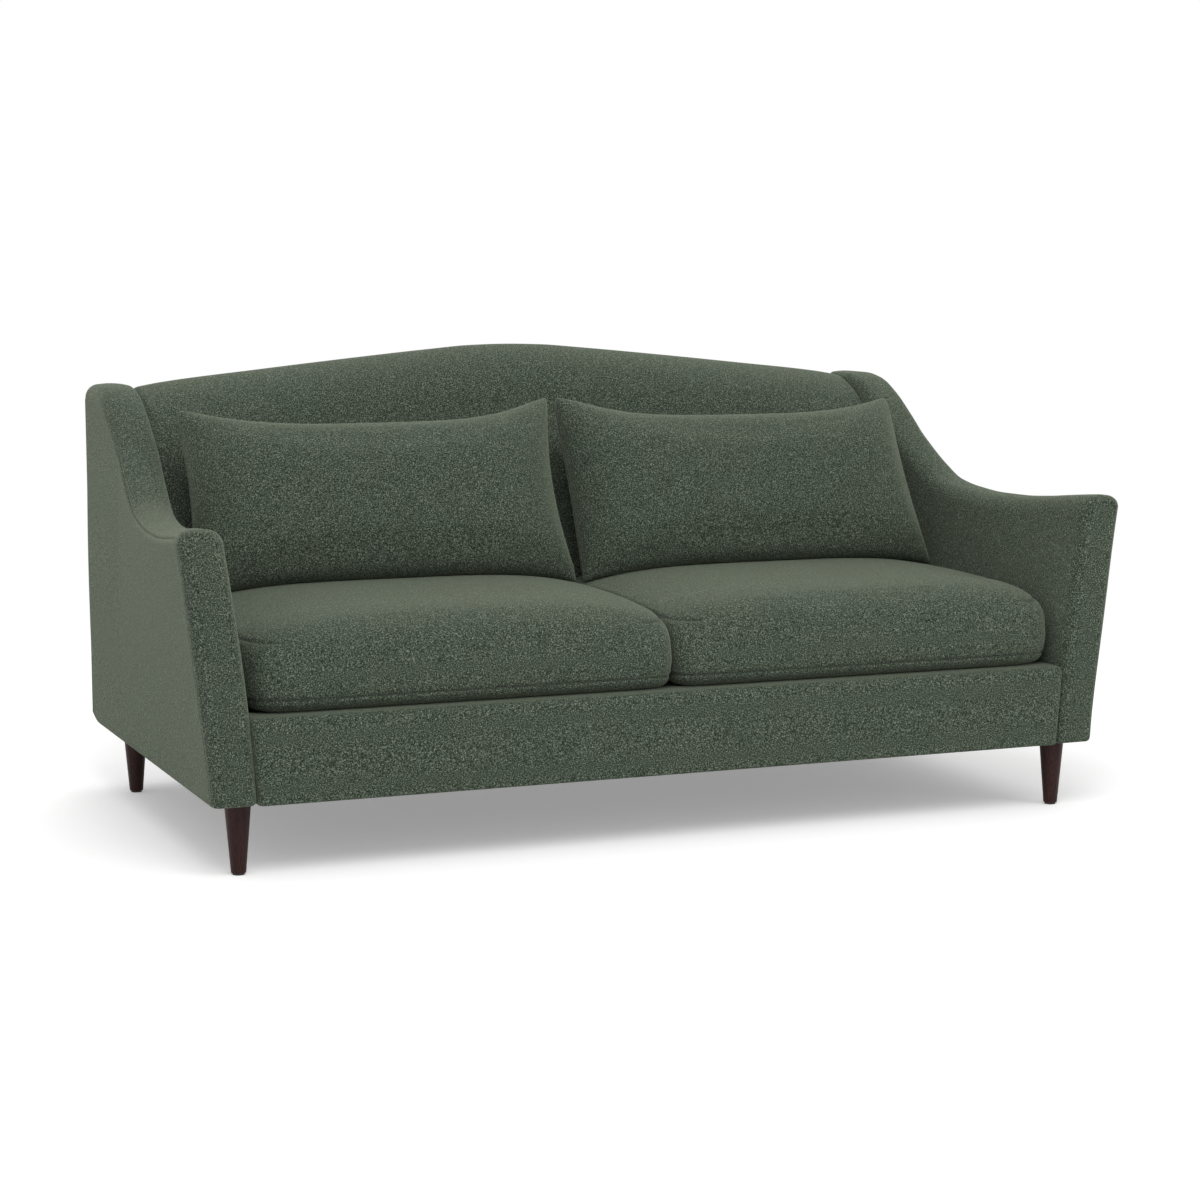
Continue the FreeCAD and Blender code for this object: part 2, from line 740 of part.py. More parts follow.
def outlined(sketch, corners):
    """Straight edges round the corners, each corner bound to its two sizes."""
    count = len(corners)
    flat = [Vector(number(across), number(up), 0) for across, up in corners]
    for edge in range(count):
        sketch.addGeometry(Part.LineSegment(flat[edge], flat[(edge + 1) % count]), False)
    for edge in range(count):
        sketch.addConstraint(Sketcher.Constraint("Coincident", edge, 2, (edge + 1) % count, 1))
    for edge, (across, up) in enumerate(corners):
        for kind, length in (("DistanceX", across), ("DistanceY", up)):
            index = sketch.addConstraint(Sketcher.Constraint(kind, -1, 1, edge, 1, number(length)))
            sketch.setExpression(f"Constraints[{index}]", formula(length))


def turned(label, corners):
    """A body turned about its own Z axis from the outline, given as radius and height."""
    body = doc.addObject("PartDesign::Body", label)
    sketch = sketch_on(body, "XZ_Plane", f"{label}_outline")
    outlined(sketch, corners)
    turn = body.newObject("PartDesign::Revolution", f"{label}_turn")
    turn.Profile = sketch
    turn.ReferenceAxis = (sketch, ["V_Axis"])
    turn.Angle = 360
    return body


LEG_PLACES = (
    ("front_left_leg", -leg_x, leg_front_y),
    ("front_right_leg", leg_x, leg_front_y),
    ("rear_left_leg", -leg_x, leg_rear_y),
    ("rear_right_leg", leg_x, leg_rear_y),
)


def build_legs():
    axis = Size(0, "0 mm")
    edge = size("leg_edge")
    foot = size("glide_thick")
    foot_round = size("leg_foot_round")
    top_round = size("leg_top_round")
    high = size("leg_high")
    bore = size("stud_round") + size("bolt_play")
    bore_foot = high - size("stud_in_leg") - size("bolt_play")
    corners = (
        (axis, foot),
        (foot_round - edge, foot),
        (foot_round, foot + edge),
        (top_round, high),
        (bore, high),
        (bore, bore_foot),
        (axis, bore_foot),
    )
    legs = []
    for name, x, y in LEG_PLACES:
        leg = turned(name, corners)
        place(leg, x, y, axis)
        legs.append(leg)
    for name, pair in (("front_legs", legs[:2]), ("rear_legs", legs[2:])):
        both = doc.addObject("Part::Compound", name)
        both.Links = pair
        keep(both, name)


def at_each_leg(shape):
    """Copies of a shape made about the Z axis, one at each leg."""
    copies = []
    for _, x, y in LEG_PLACES:
        copy = shape.copy()
        copy.translate(point(x, y, 0))
        copies.append(copy)
    return Part.makeCompound(copies)


def build_leg_fixings():
    up = Vector(0, 0, 1)
    play = mm("bolt_play")
    shaped("leg_glides", at_each_leg(Part.makeCylinder(mm("glide_round"), mm("glide_thick"))))
    start = point(0, 0, floor_line - size("stud_in_leg"))
    stud = Part.makeCylinder(mm("stud_round"), mm("stud_in_leg") + mm("stud_in_block"), start, up)
    shaped("hanger_bolts", at_each_leg(stud))

    block_top = frame_low + size("block_high")
    nut_foot = point(0, 0, block_top - size("nut_high"))
    nut = Part.makeCylinder(mm("nut_round"), mm("nut_high"), nut_foot, up)
    bore = Part.makeCylinder(mm("stud_round") + play, mm("nut_high"), nut_foot, up)
    shaped("leg_nuts", at_each_leg(nut.cut(bore)))

    drilled = Part.makeCylinder(mm("nut_round"), mm("block_high"), point(0, 0, frame_low), up)
    gap = mm("touch_gap")
    inner = number(cavity_side)
    outer = number(side) - mm("arm_pad_thick") - gap
    blocks = []
    for _, x, y in LEG_PLACES:
        y0 = max(number(y) - mm("block_deep") / 2, number(rail_front))
        y1 = y0 + mm("block_deep")
        if number(x) < 0:
            block = slab(-outer, -inner, y0, y1, frame_low, block_top)
        else:
            block = slab(inner, outer, y0, y1, frame_low, block_top)
        bored = drilled.copy()
        bored.translate(point(x, y, 0))
        blocks.append(block.cut(bored))
    shaped("leg_blocks", Part.makeCompound(blocks))


def build_dust_cover():
    """Cloth under the whole body, with a hole for each leg's bolt."""
    reach = side - size("arm_pad_thick") - size("touch_gap")
    sheet_of_cloth = board("dust_cloth", -reach, reach, rail_front, rear_face, floor_line, frame_low)
    holes = []
    for name, x, y in LEG_PLACES:
        hole = doc.addObject("Part::Cylinder", f"{name}_hole")
        bind(hole, Radius=size("stud_round") + size("bolt_play"), Height=size("cloth_thick") * 3)
        place(hole, x, y, floor_line - size("cloth_thick"))
        holes.append(hole)
    punched = doc.addObject("Part::MultiFuse", "bolt_holes")
    punched.Shapes = holes
    cover = doc.addObject("Part::Cut", "dust_cover")
    cover.Base = sheet_of_cloth
    cover.Tool = punched
    keep(cover, "dust_cover")


# Outer panels and the front border


def build_outside_back():
    """Card and cover over the whole rear, its top following the arms and the camel line."""
    drop = mm("panel_drop")
    half = number(side)
    valley_x = number(arm_inside)
    arm_top = mm("arm_rear_high") - drop
    outer = mm("arm_rear_out_round")
    inner = mm("arm_rear_in_round")
    slant = HALF_TURN_SHARE
    y = number(rear_face)
    back_half = valley_x - mm("side_gap")
    crest_fall = mm("roll_fall")
    right = [Vector(half, y, number(floor_line)), Vector(half, y, arm_top - outer)]
    shoulder = Vector(half - outer, y, arm_top)
    shoulder_turn = Vector(half - outer + outer * slant, y, arm_top - outer + outer * slant)
    inner_start = Vector(valley_x + inner, y, arm_top)
    inner_turn = Vector(valley_x + inner - inner * slant, y, arm_top - inner + inner * slant)
    valley = Vector(valley_x, y, arm_top - inner)
    camel = []
    for along, high in reversed(CAMEL_SHARES):
        z = mm("back_side_high") + camel_rise(high) - crest_fall
        camel.append(Vector(along * back_half, y, z))

    def half_edges(flip):
        def at(spot):
            return Vector(-spot.x, spot.y, spot.z) if flip else spot

        edges = [
            Part.makeLine(at(right[0]), at(right[1])),
            bent(at(right[1]), at(shoulder_turn), at(shoulder)),
            Part.makeLine(at(shoulder), at(inner_start)),
            bent(at(inner_start), at(inner_turn), at(valley)),
            Part.makeLine(at(valley), at(camel[0])),
        ]
        edges += [Part.makeLine(at(a), at(b)) for a, b in zip(camel, camel[1:])]
        return edges

    left = [Vector(-spot.x, spot.y, spot.z) for spot in right[:1]]
    edges = half_edges(False) + half_edges(True) + [Part.makeLine(left[0], right[0])]
    outline = Part.Wire(Part.__sortEdges__(edges))
    shaped("outside_back", Part.Face(outline).extrude(Vector(0, mm("panel_thick"), 0)))


def build_border():
    """The padded front border with its lip over the front rail."""
    r = mm("border_round")
    slant = HALF_TURN_SHARE
    low = number(floor_line)
    top = number(deck_top)
    lip = number(web_top)
    y0 = number(front)
    y1 = number(rail_front)
    y2 = y1 + mm("border_lip")

    def at(y, z):
        return Vector(0, y, z)

    turn = r * (1 - slant)
    outline = Part.Wire([
        bent(at(y0 + r, low), at(y0 + turn, low + turn), at(y0, low + r)),
        Part.makeLine(at(y0, low + r), at(y0, top - r)),
        bent(at(y0, top - r), at(y0 + turn, top - turn), at(y0 + r, top)),
        Part.makeLine(at(y0 + r, top), at(y2, top)),
        Part.makeLine(at(y2, top), at(y2, lip)),
        Part.makeLine(at(y2, lip), at(y1, lip)),
        Part.makeLine(at(y1, lip), at(y1, low)),
        Part.makeLine(at(y1, low), at(y0 + r, low)),
    ])
    half = number(arm_inside) - mm("touch_gap")
    whole = Part.Face(outline).extrude(Vector(2 * half, 0, 0))
    whole.translate(Vector(-half, 0, 0))
    past = mm("overrun")
    for turned_to in (-1, 1):
        corner = Part.makeBox(r, r + past, top - low + 2 * past)
        rod = Part.makeCylinder(r, top - low + 2 * past)
        if turned_to > 0:
            corner.translate(Vector(half - r, y0 - past, low - past))
            rod.translate(Vector(half - r, y0 + r, low - past))
        else:
            corner.translate(Vector(-half, y0 - past, low - past))
            rod.translate(Vector(-half + r, y0 + r, low - past))
        whole = whole.cut(corner.cut(rod))
    shaped("front_border", whole)


# Cushions: covers as hollow forms with their fillings inside


# Across the cushion from the middle of the sofa, and the shares of the two end roundings
SEAT_SHARES = (
    (0.000, 1.00, 0.00),
    (0.012, 0.43, 0.00),
    (0.035, 0.10, 0.00),
    (0.120, 0.00, 0.00),
    (0.300, 0.00, 0.00),
    (0.500, 0.00, 0.00),
    (0.700, 0.00, 0.00),
    (0.880, 0.00, 0.00),
    (0.950, 0.00, 0.15),
    (0.985, 0.00, 0.52),
    (1.000, 0.00, 1.00),
)
SEAT_FOAM_SHARES = (
    (0.000, 1.00, 0.00),
    (0.035, 0.10, 0.00),
    (0.120, 0.00, 0.00),
    (0.500, 0.00, 0.00),
    (0.880, 0.00, 0.00),
    (1.000, 0.00, 1.00),
)
SEAT_FALL_SHARE = 0.22
NOSE_MIDDLE_SHARES = (0.27, 0.62)
DRAWN_POWER = 4


def drawn_in(share):
    """Zero at both ends of a cushion and one across most of its width."""
    return 1 - (2 * share - 1) ** DRAWN_POWER


def seat_ends():
    return mm("touch_gap"), number(arm_inside) - mm("side_gap")


def seat_low():
    return number(deck_top) + mm("touch_gap")


def seat_top(x):
    """The crown of the seat cushion at this place across it."""
    start, end = seat_ends()
    share = (x - start) / (end - start)
    return mm("seat_crown_high") - mm("seat_crown") * (1 - drawn_in(share))


def seat_chords(inset):
    return PLAIN_COUNT if inset else CUSHION_COUNT


def seat_section(x, top, front_draw, foot_draw, inset):
    chords = seat_chords(inset)
    low = seat_low() + foot_draw + inset
    high = top - inset
    y0 = number(front) + mm("seat_front_in") + front_draw + inset
    y1 = number(back_foot) - mm("seat_rear_gap") - inset
    swell = mm("seat_face_swell")
    foot = mm("seat_foot_round") - inset
    heel = max(mm("seat_heel_round") - inset, mm("least_round"))
    tail = mm("seat_tail_round") - inset
    nose_deep = mm("seat_nose_deep") - inset
    nose_high = mm("seat_nose_high") - inset
    fall = mm("seat_crown") * SEAT_FALL_SHARE
    slant = 1 - HALF_TURN_SHARE
    nose_across, nose_up = NOSE_MIDDLE_SHARES

    def at(y, z):
        return Vector(x, y, z)

    face_foot = at(y0 + swell, low + foot)
    face_top = at(y0 + swell, high - nose_high)
    nose_top = at(y0 + nose_deep, high - fall)
    tail_top = at(y1 - tail, high - fall)
    tail_foot = at(y1, high - fall - tail)
    heel_top = at(y1, low + heel)
    heel_foot = at(y1 - heel, low)
    foot_rear = at(y0 + swell + foot, low)
    nose_middle = at(
        face_top.y + (nose_top.y - face_top.y) * nose_across,
        face_top.z + (nose_top.z - face_top.z) * nose_up,
    )
    return Part.Wire([
        Part.makeLine(heel_foot, foot_rear),
        *curve(foot_rear, at(y0 + swell + foot * slant, low + foot * slant), face_foot, chords),
        *curve(face_foot, at(y0, (face_foot.z + face_top.z) / 2), face_top, chords),
        *curve(face_top, nose_middle, nose_top, chords),
        *curve(nose_top, at((nose_top.y + tail_top.y) / 2, high), tail_top, chords),
        *curve(tail_top, at(y1 - tail * slant, high - fall - tail * slant), tail_foot, chords),
        Part.makeLine(tail_foot, heel_top),
        *curve(heel_top, at(y1 - heel * slant, low + heel * slant), heel_foot, chords),
    ])


def seat_form(inset):
    """The seat cushion, or drawn in by the inset its foam, cut plain between fewer stations."""
    start, end = seat_ends()
    wires = []
    stations = SEAT_FOAM_SHARES if inset else SEAT_SHARES
    for along, inner_share, outer_share in stations:
        x = start + inset + along * (end - start - 2 * inset)
        front_draw = inner_share * mm("seat_inner_draw") + outer_share * mm("seat_outer_draw")
        foot_draw = (inner_share + outer_share) * mm("seat_foot_draw")
        top = seat_top(start + along * (end - start))
        wires.append(seat_section(x, top, front_draw, foot_draw, inset))
    return joined(wires, seat_chords(inset))


# Along both long seams of the back cushion, from its inner to its outer corner
PILLOW_SHARES = (0.00, 0.03, 0.09, 0.20, 0.50, 0.80, 0.91, 0.97, 1.00)
# On each side of the seams: how much of the outline is left, and how much of the fullness there
PILLOW_REAR_SHARES = ((0.55, 1.00), (0.78, 0.42), (0.92, 0.14))
PILLOW_FRONT_SHARES = ((0.96, 0.30), (0.87, 0.62), (0.70, 0.88), (0.40, 1.00))
PILLOW_FILL_SHARES = ((0.62, 0.90), (0.40, 1.00))
# Of the pillow's half height, for each unit of inset along the seams
PILLOW_DRAW_SHARE = 1.6


def seat_surface(x, y):
    """Height of the seat cushion under a place on its crown."""
    y0 = number(front) + mm("seat_front_in") + mm("seat_nose_deep")
    y1 = number(back_foot) - mm("seat_rear_gap") - mm("seat_tail_round")
    off = (2 * y - y0 - y1) / (y1 - y0)
    return seat_top(x) - mm("seat_crown") * SEAT_FALL_SHARE * off ** 2


def pillow_ends(clear):
    """The inner and outer ends of one of the back cushion's long seams."""
    return mm("pillow_inner"), number(arm_inside) - mm(clear)


def pillow_frame():
    """Middle of the lower seam, the slope up the cushion, and the way to its rear."""
    foot_y = number(back_foot) - mm("pillow_foot_ahead")
    middle_x = sum(pillow_ends("pillow_foot_clear")) / 2
    foot = Vector(middle_x, foot_y, seat_surface(middle_x, foot_y) + mm("pillow_lift"))
    up = Vector(0, mm("pillow_lean"), mm("pillow_top_high") - foot.z).normalize()
    backward = Vector(0, up.z, -up.y)
    foot.z -= backward.z * mm("pillow_edge") / 2
    return foot, up, backward


def pillow_outline():
    """Corners of the seam round the back cushion, its foot following the crown of the seat."""
    foot, up, _ = pillow_frame()
    inner, foot_outer = pillow_ends("pillow_foot_clear")
    foot_wide = foot_outer - inner
    top_wide = pillow_ends("pillow_top_clear")[1] - inner
    high = (mm("pillow_top_high") - foot.z) / up.z
    lower = []
    upper = []
    for along in PILLOW_SHARES:
        x = inner + along * foot_wide
        sink = (seat_surface(x, foot.y) - seat_surface(foot.x, foot.y)) / up.z
        lower.append(Vector(x, foot.y, foot.z) + up * sink)
        drawn = high - mm("pillow_top_draw") * drawn_in(along)
        upper.append(Vector(inner + along * top_wide, foot.y, foot.z) + up * drawn)
    aside = Vector(mm("pillow_side_draw"), 0, 0)
    outer_middle = (lower[-1] + upper[-1]) * 0.5 - aside
    inner_middle = (lower[0] + upper[0]) * 0.5 + aside
    return [*lower, outer_middle, *reversed(upper), inner_middle]


def pillow_form(inset):
    """The back cushion as rings round its seam, swelling to the rear and to the front."""
    foot, up, backward = pillow_frame()
    outline = pillow_outline()
    half_high = (mm("pillow_top_high") - foot.z) / up.z / 2
    centre = foot + up * half_high
    left = 1 - PILLOW_DRAW_SHARE * inset / half_high
    edge = max(mm("pillow_edge") / 2 - inset, mm("least_round") / 2)

    slope = mm("rake_run") / mm("rake_rise")
    reach_down = centre - up * half_high * PILLOW_REAR_SHARES[0][0]
    face_y = number(back_foot) + slope * (reach_down.z - mm("back_bend_high"))
    rear_full = (face_y - reach_down.y) / (backward.y - slope * backward.z)
    rear_full -= mm("side_gap") + inset
    front_full = mm("pillow_swell") - inset

    front_shares = PILLOW_FILL_SHARES if inset else PILLOW_FRONT_SHARES
    rear_shares = PILLOW_REAR_SHARES[:1] if inset else PILLOW_REAR_SHARES
    rings = [(share, edge + (rear_full - edge) * full) for share, full in rear_shares]
    rings += [(1, edge), (1, -edge)]
    rings += [(share, -edge - (front_full - edge) * full) for share, full in front_shares]
    placed = []
    for share, behind in rings:
        placed.append([centre + (spot - centre) * share * left + backward * behind for spot in outline])
    return ringed(placed)


def build_cushions():
    wall = mm("cover_thick")
    inside = wall + mm("touch_gap")
    seat_cover = seat_form(0).cut(seat_form(wall))
    pillow_cover = pillow_form(0).cut(pillow_form(wall))
    named = (
        ("seat_cushion_cover", seat_cover),
        ("seat_cushion_core", seat_form(inside)),
        ("back_cushion_cover", pillow_cover),
        ("back_cushion_filling", pillow_form(inside)),
    )
    for name, shape in named:
        shaped(f"right_{name}", shape)
        shaped(f"left_{name}", mirrored(shape))


def build_zips():
    """The zip that closes each seat cushion cover, in its flat rear, and its slider."""
    start, end = seat_ends()
    middle = (start + end) / 2
    face = number(back_foot) - mm("seat_rear_gap")
    z = seat_low() + mm("zip_rise")
    half = mm("zip_long") / 2
    tape = mm("zip_tape_thick")
    chain = mm("zip_chain_thick")
    tape_half = mm("zip_tape_wide") / 2
    chain_half = mm("zip_chain_wide") / 2
    x0 = middle - half
    x1 = middle + half
    tape_face = face + tape
    chain_face = tape_face + chain
    strip = slab(x0, x1, face, tape_face, z - tape_half, z + tape_half)
    chain_row = slab(x0, x1, tape_face, chain_face, z - chain_half, z + chain_half)
    wall = mm("slider_wall")
    stop_half = mm("slider_wide") / 2
    stops = [slab(x0, x0 + wall, tape_face, chain_face + wall, z - stop_half, z + stop_half)]
    stops.append(slab(x1 - wall, x1, tape_face, chain_face + wall, z - stop_half, z + stop_half))
    closed = strip.fuse([chain_row, *stops]).removeSplitter()

    gap = mm("touch_gap")
    long = mm("slider_long")
    body_x = x0 + wall + gap
    near = tape_face + gap
    far = chain_face + gap + wall
    body = slab(body_x, body_x + long, near, far, z - stop_half - wall, z + stop_half + wall)
    channel_half = chain_half + gap
    channel = slab(body_x - long, body_x + 2 * long, near - wall, chain_face + gap,
                   z - channel_half, z + channel_half)
    pull_half = mm("pull_wide") / 2
    pull_x = body_x + long / 2
    pull = slab(pull_x - pull_half, pull_x + pull_half, far, far + wall,
                z - mm("pull_long"), z + stop_half)
    slider = body.cut(channel).fuse(pull).removeSplitter()
    for name, shape in (("seat_zip", closed), ("zip_slider", slider)):
        shaped(f"right_{name}", shape)
        shaped(f"left_{name}", mirrored(shape))


build_rails()
build_arms()
build_back()
build_seat_straps()
build_deck()
build_back_straps()
build_legs()
build_leg_fixings()
build_dust_cover()
build_outside_back()
build_border()
build_cushions()
build_zips()

doc.recompute()
os.makedirs("parts", exist_ok=True)
for piece in pieces:
    state = [word for word in piece.State if word in ("Invalid", "Error")]
    if state or piece.Shape.isNull() or not piece.Shape.isValid():
        raise RuntimeError(f"{piece.Label} is not a sound shape: {piece.State}")
for piece in pieces:
    piece.Shape.exportStep(f"parts/{piece.Label}.step")
    box = piece.Shape.optimalBoundingBox(False)
    low = ", ".join(f"{edge:.0f}" for edge in (box.XMin, box.YMin, box.ZMin))
    high = ", ".join(f"{edge:.0f}" for edge in (box.XMax, box.YMax, box.ZMax))
    print(f"{piece.Label}: {len(piece.Shape.Solids)} solid(s), from ({low}) to ({high}) mm")
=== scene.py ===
# %% [markdown]
# # A camel-back sofa, dressed
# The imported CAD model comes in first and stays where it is. Everything soft is then made again as
# fabric over it, each piece in the place of its CAD solid, and the hard parts get better finishes.
# Lengths are in metres: X goes to the viewer's right, Y to the rear, Z up, with the floor at Z = 0.

import json
import math

import bmesh
import bpy
import numpy as np
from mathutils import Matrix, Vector
from mathutils.bvhtree import BVHTree
from mathutils.kdtree import KDTree


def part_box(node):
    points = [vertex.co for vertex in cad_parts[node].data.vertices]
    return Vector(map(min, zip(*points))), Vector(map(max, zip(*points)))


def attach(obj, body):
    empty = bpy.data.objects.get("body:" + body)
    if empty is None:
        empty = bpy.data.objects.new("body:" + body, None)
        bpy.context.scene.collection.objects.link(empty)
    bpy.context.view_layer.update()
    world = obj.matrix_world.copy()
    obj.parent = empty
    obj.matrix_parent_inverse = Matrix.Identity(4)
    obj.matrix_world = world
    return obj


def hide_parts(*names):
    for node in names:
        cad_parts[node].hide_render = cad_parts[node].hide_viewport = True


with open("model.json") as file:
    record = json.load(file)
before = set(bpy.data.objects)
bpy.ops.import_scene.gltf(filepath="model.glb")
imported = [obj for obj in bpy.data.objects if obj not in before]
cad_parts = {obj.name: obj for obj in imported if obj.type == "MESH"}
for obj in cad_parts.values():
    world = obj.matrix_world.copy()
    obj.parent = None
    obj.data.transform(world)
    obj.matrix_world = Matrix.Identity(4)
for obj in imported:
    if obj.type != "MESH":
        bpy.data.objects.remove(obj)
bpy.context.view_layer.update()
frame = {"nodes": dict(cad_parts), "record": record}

# %% [markdown]
# ## The sizes that the soft pieces share with the frame
# An upholsterer cuts covers to the frame, so the covers here read their main sizes from the frame's
# own pieces, and the finer ones are the upholsterer's own: how round an edge is, how far an arm
# leans out, how much a cushion is crowned.

# %% Main sizes
ARM_WIDE, BACK_PANEL = 0.089, 0.005
side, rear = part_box("outside_back")[1][:2]
body_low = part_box("outside_back")[0][2]
front, deck_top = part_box("front_border")[0][1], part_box("front_border")[1][2]
back_foot, back_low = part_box("inside_back_pad")[0][1:]
arm_inside = side - ARM_WIDE
rear_face = rear - BACK_PANEL
arm_run = rear_face - front
print("body", round(2 * side, 3), "wide,", round(rear - front, 3), "deep, from",
      round(body_low, 3), "up")

# %% [markdown]
# ## Helpers: smooth curves and skins
# A cover is a row of outlines joined into a skin. Where sizes are known only at a few places along
# the piece, a monotone cubic runs through them: it is smooth and never overshoots, which is how
# fabric lies over a shaped rail.

# %% Smooth lines and skins
def smooth_line(knots):
    """A function through (place, value) pairs, smooth and free of overshoot."""
    x, y = np.array(knots, float).T
    step = np.diff(x)
    slope = np.diff(y) / step
    lead = np.zeros(len(x))
    for k in range(1, len(x) - 1):
        if slope[k - 1] * slope[k] > 0:
            before, after = 2 * step[k] + step[k - 1], step[k] + 2 * step[k - 1]
            lead[k] = (before + after) / (before / slope[k - 1] + after / slope[k])

    def value(at):
        at = min(max(at, x[0]), x[-1])
        k = min(int(np.searchsorted(x, at, side="right")) - 1, len(step) - 1)
        t = (at - x[k]) / step[k]
        return ((1 + 2 * t) * (1 - t) ** 2 * y[k] + t * (1 - t) ** 2 * step[k] * lead[k]
                + t * t * (3 - 2 * t) * y[k + 1] + t * t * (t - 1) * step[k] * lead[k + 1])

    return value


def quarter(centre, radius, start, end, count):
    """Points of an arc in a plane, its angles in degrees, without its last point."""
    turns = np.radians(np.linspace(start, end, count, endpoint=False))
    return [(centre[0] + radius * math.cos(a), centre[1] + radius * math.sin(a)) for a in turns]


def run(start, end, count):
    """Points of a straight run, without its last point."""
    return [tuple(p) for p in np.linspace(start, end, count, endpoint=False)]


def bezier(steer, count):
    """Points of a Bezier curve from its steering points, without its last point."""
    line = []
    for t in np.linspace(0, 1, count, endpoint=False):
        at = np.array(steer)
        while len(at) > 1:
            at = (1 - t) * at[:-1] + t * at[1:]
        line.append(tuple(at[0]))
    return line


print("lines ready")

# %% Pieces from rings of points
def linked(name, data):
    """An object in the scene that holds this data."""
    thing = bpy.data.objects.new(name, data)
    bpy.context.scene.collection.objects.link(thing)
    return thing


def new_piece(name, points, faces):
    """A smooth-shaded object in the scene, its place in its mesh."""
    mesh = bpy.data.meshes.new(name)
    mesh.from_pydata([tuple(map(float, p)) for p in points], [], faces)
    mesh.validate()
    mesh.shade_smooth()
    return linked(name, mesh)


def outward(piece):
    """Turn all faces of a closed piece outward."""
    work = bmesh.new()
    work.from_mesh(piece.data)
    bmesh.ops.remove_doubles(work, verts=work.verts, dist=1e-6)
    bmesh.ops.recalc_face_normals(work, faces=work.faces)
    work.to_mesh(piece.data)
    work.free()


def ring_faces(rings, count):
    """Quads between neighbouring rings of the same number of points."""
    faces = []
    for start in range(0, (rings - 1) * count, count):
        for i in range(count):
            j = (i + 1) % count
            faces.append((start + i, start + j, start + count + j, start + count + i))
    return faces


def folded(count):
    """Quads across a ring that runs out along one face and back along the other."""
    return [(i, i + 1, count - 2 - i, count - 1 - i) for i in range(count // 2 - 1)]


def ringed_piece(name, rings, caps):
    """A closed piece from rings of points, its first and last ring closed by the caps."""
    count = len(rings[0])
    faces = ring_faces(len(rings), count)
    for start in (0, (len(rings) - 1) * count):
        faces += [tuple(start + i for i in cap) for cap in caps]
    piece = new_piece(name, [p for ring in rings for p in ring], faces)
    outward(piece)
    return piece


def eased_places(half, ease, turns, inner):
    """Places across a piece, each with its inset, which rounds the piece's two ends."""
    angles = [math.radians(t) for t in np.linspace(0, 90, turns)]
    ends = [(-half + ease * (1 - math.cos(a)), ease * (1 - math.sin(a))) for a in angles]
    middle = [(x, 0.0) for x in np.linspace(-half + ease, half - ease, inner)[1:-1]]
    return ends + middle + [(-x, inset) for x, inset in reversed(ends)]


print("skins ready")

# %% Changing a piece and handing it over
def baked(piece):
    """Turn a piece's modifiers into plain mesh."""
    graph = bpy.context.evaluated_depsgraph_get()
    mesh = bpy.data.meshes.new_from_object(piece.evaluated_get(graph))
    piece.modifiers.clear()
    old, piece.data = piece.data, mesh
    bpy.data.meshes.remove(old)
    return piece


def per_point(piece, what="co"):
    """Each point's place, or another vector that it has."""
    flat = np.empty(len(piece.data.vertices) * 3)
    piece.data.vertices.foreach_get(what, flat)
    return flat.reshape(-1, 3)


def set_places(piece, co):
    piece.data.vertices.foreach_set("co", co.ravel())
    piece.data.update()


def mirrored(piece, name):
    """The same piece for the other side of the sofa."""
    other = linked(name, piece.data.copy())
    other.data.name = name
    set_places(other, per_point(other) * (-1, 1, 1))
    other.data.flip_normals()
    return other


def dressed(piece, node, body, finish):
    """Give a piece its finish and hand it to its body in place of its CAD solid."""
    piece.data.materials.clear()
    piece.data.materials.append(finish)
    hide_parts(node)
    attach(piece, body)
    print(piece.name, len(piece.data.polygons), "faces")


print("helpers ready")

# %% [markdown]
# ## Materials
# The cover is a wool boucle: yarn loops a few millimetres across in light and dark green, with a
# haze of fibre ends that lightens every surface seen at a slant. The loops are cells of a Voronoi
# texture that raise the surface and darken the colour between them as painted shade, noise mixes
# the two yarns, a painted shade line darkens each seam, and the shader's sheen is the haze.
# Patterns read Object coordinates, so that each is in real size on every piece.

# %% A node helper
def set_inputs(tree, node, inputs):
    """Link each input to another node's output, or give it its value."""
    for key, value in inputs.items():
        if isinstance(value, bpy.types.NodeSocket):
            tree.links.new(value, node.inputs[key])
        else:
            node.inputs[key].default_value = value


def add_node(tree, kind, inputs=None, **settings):
    node = tree.nodes.new(kind)
    for key, value in settings.items():
        setattr(node, key, value)
    set_inputs(tree, node, inputs or {})
    return node


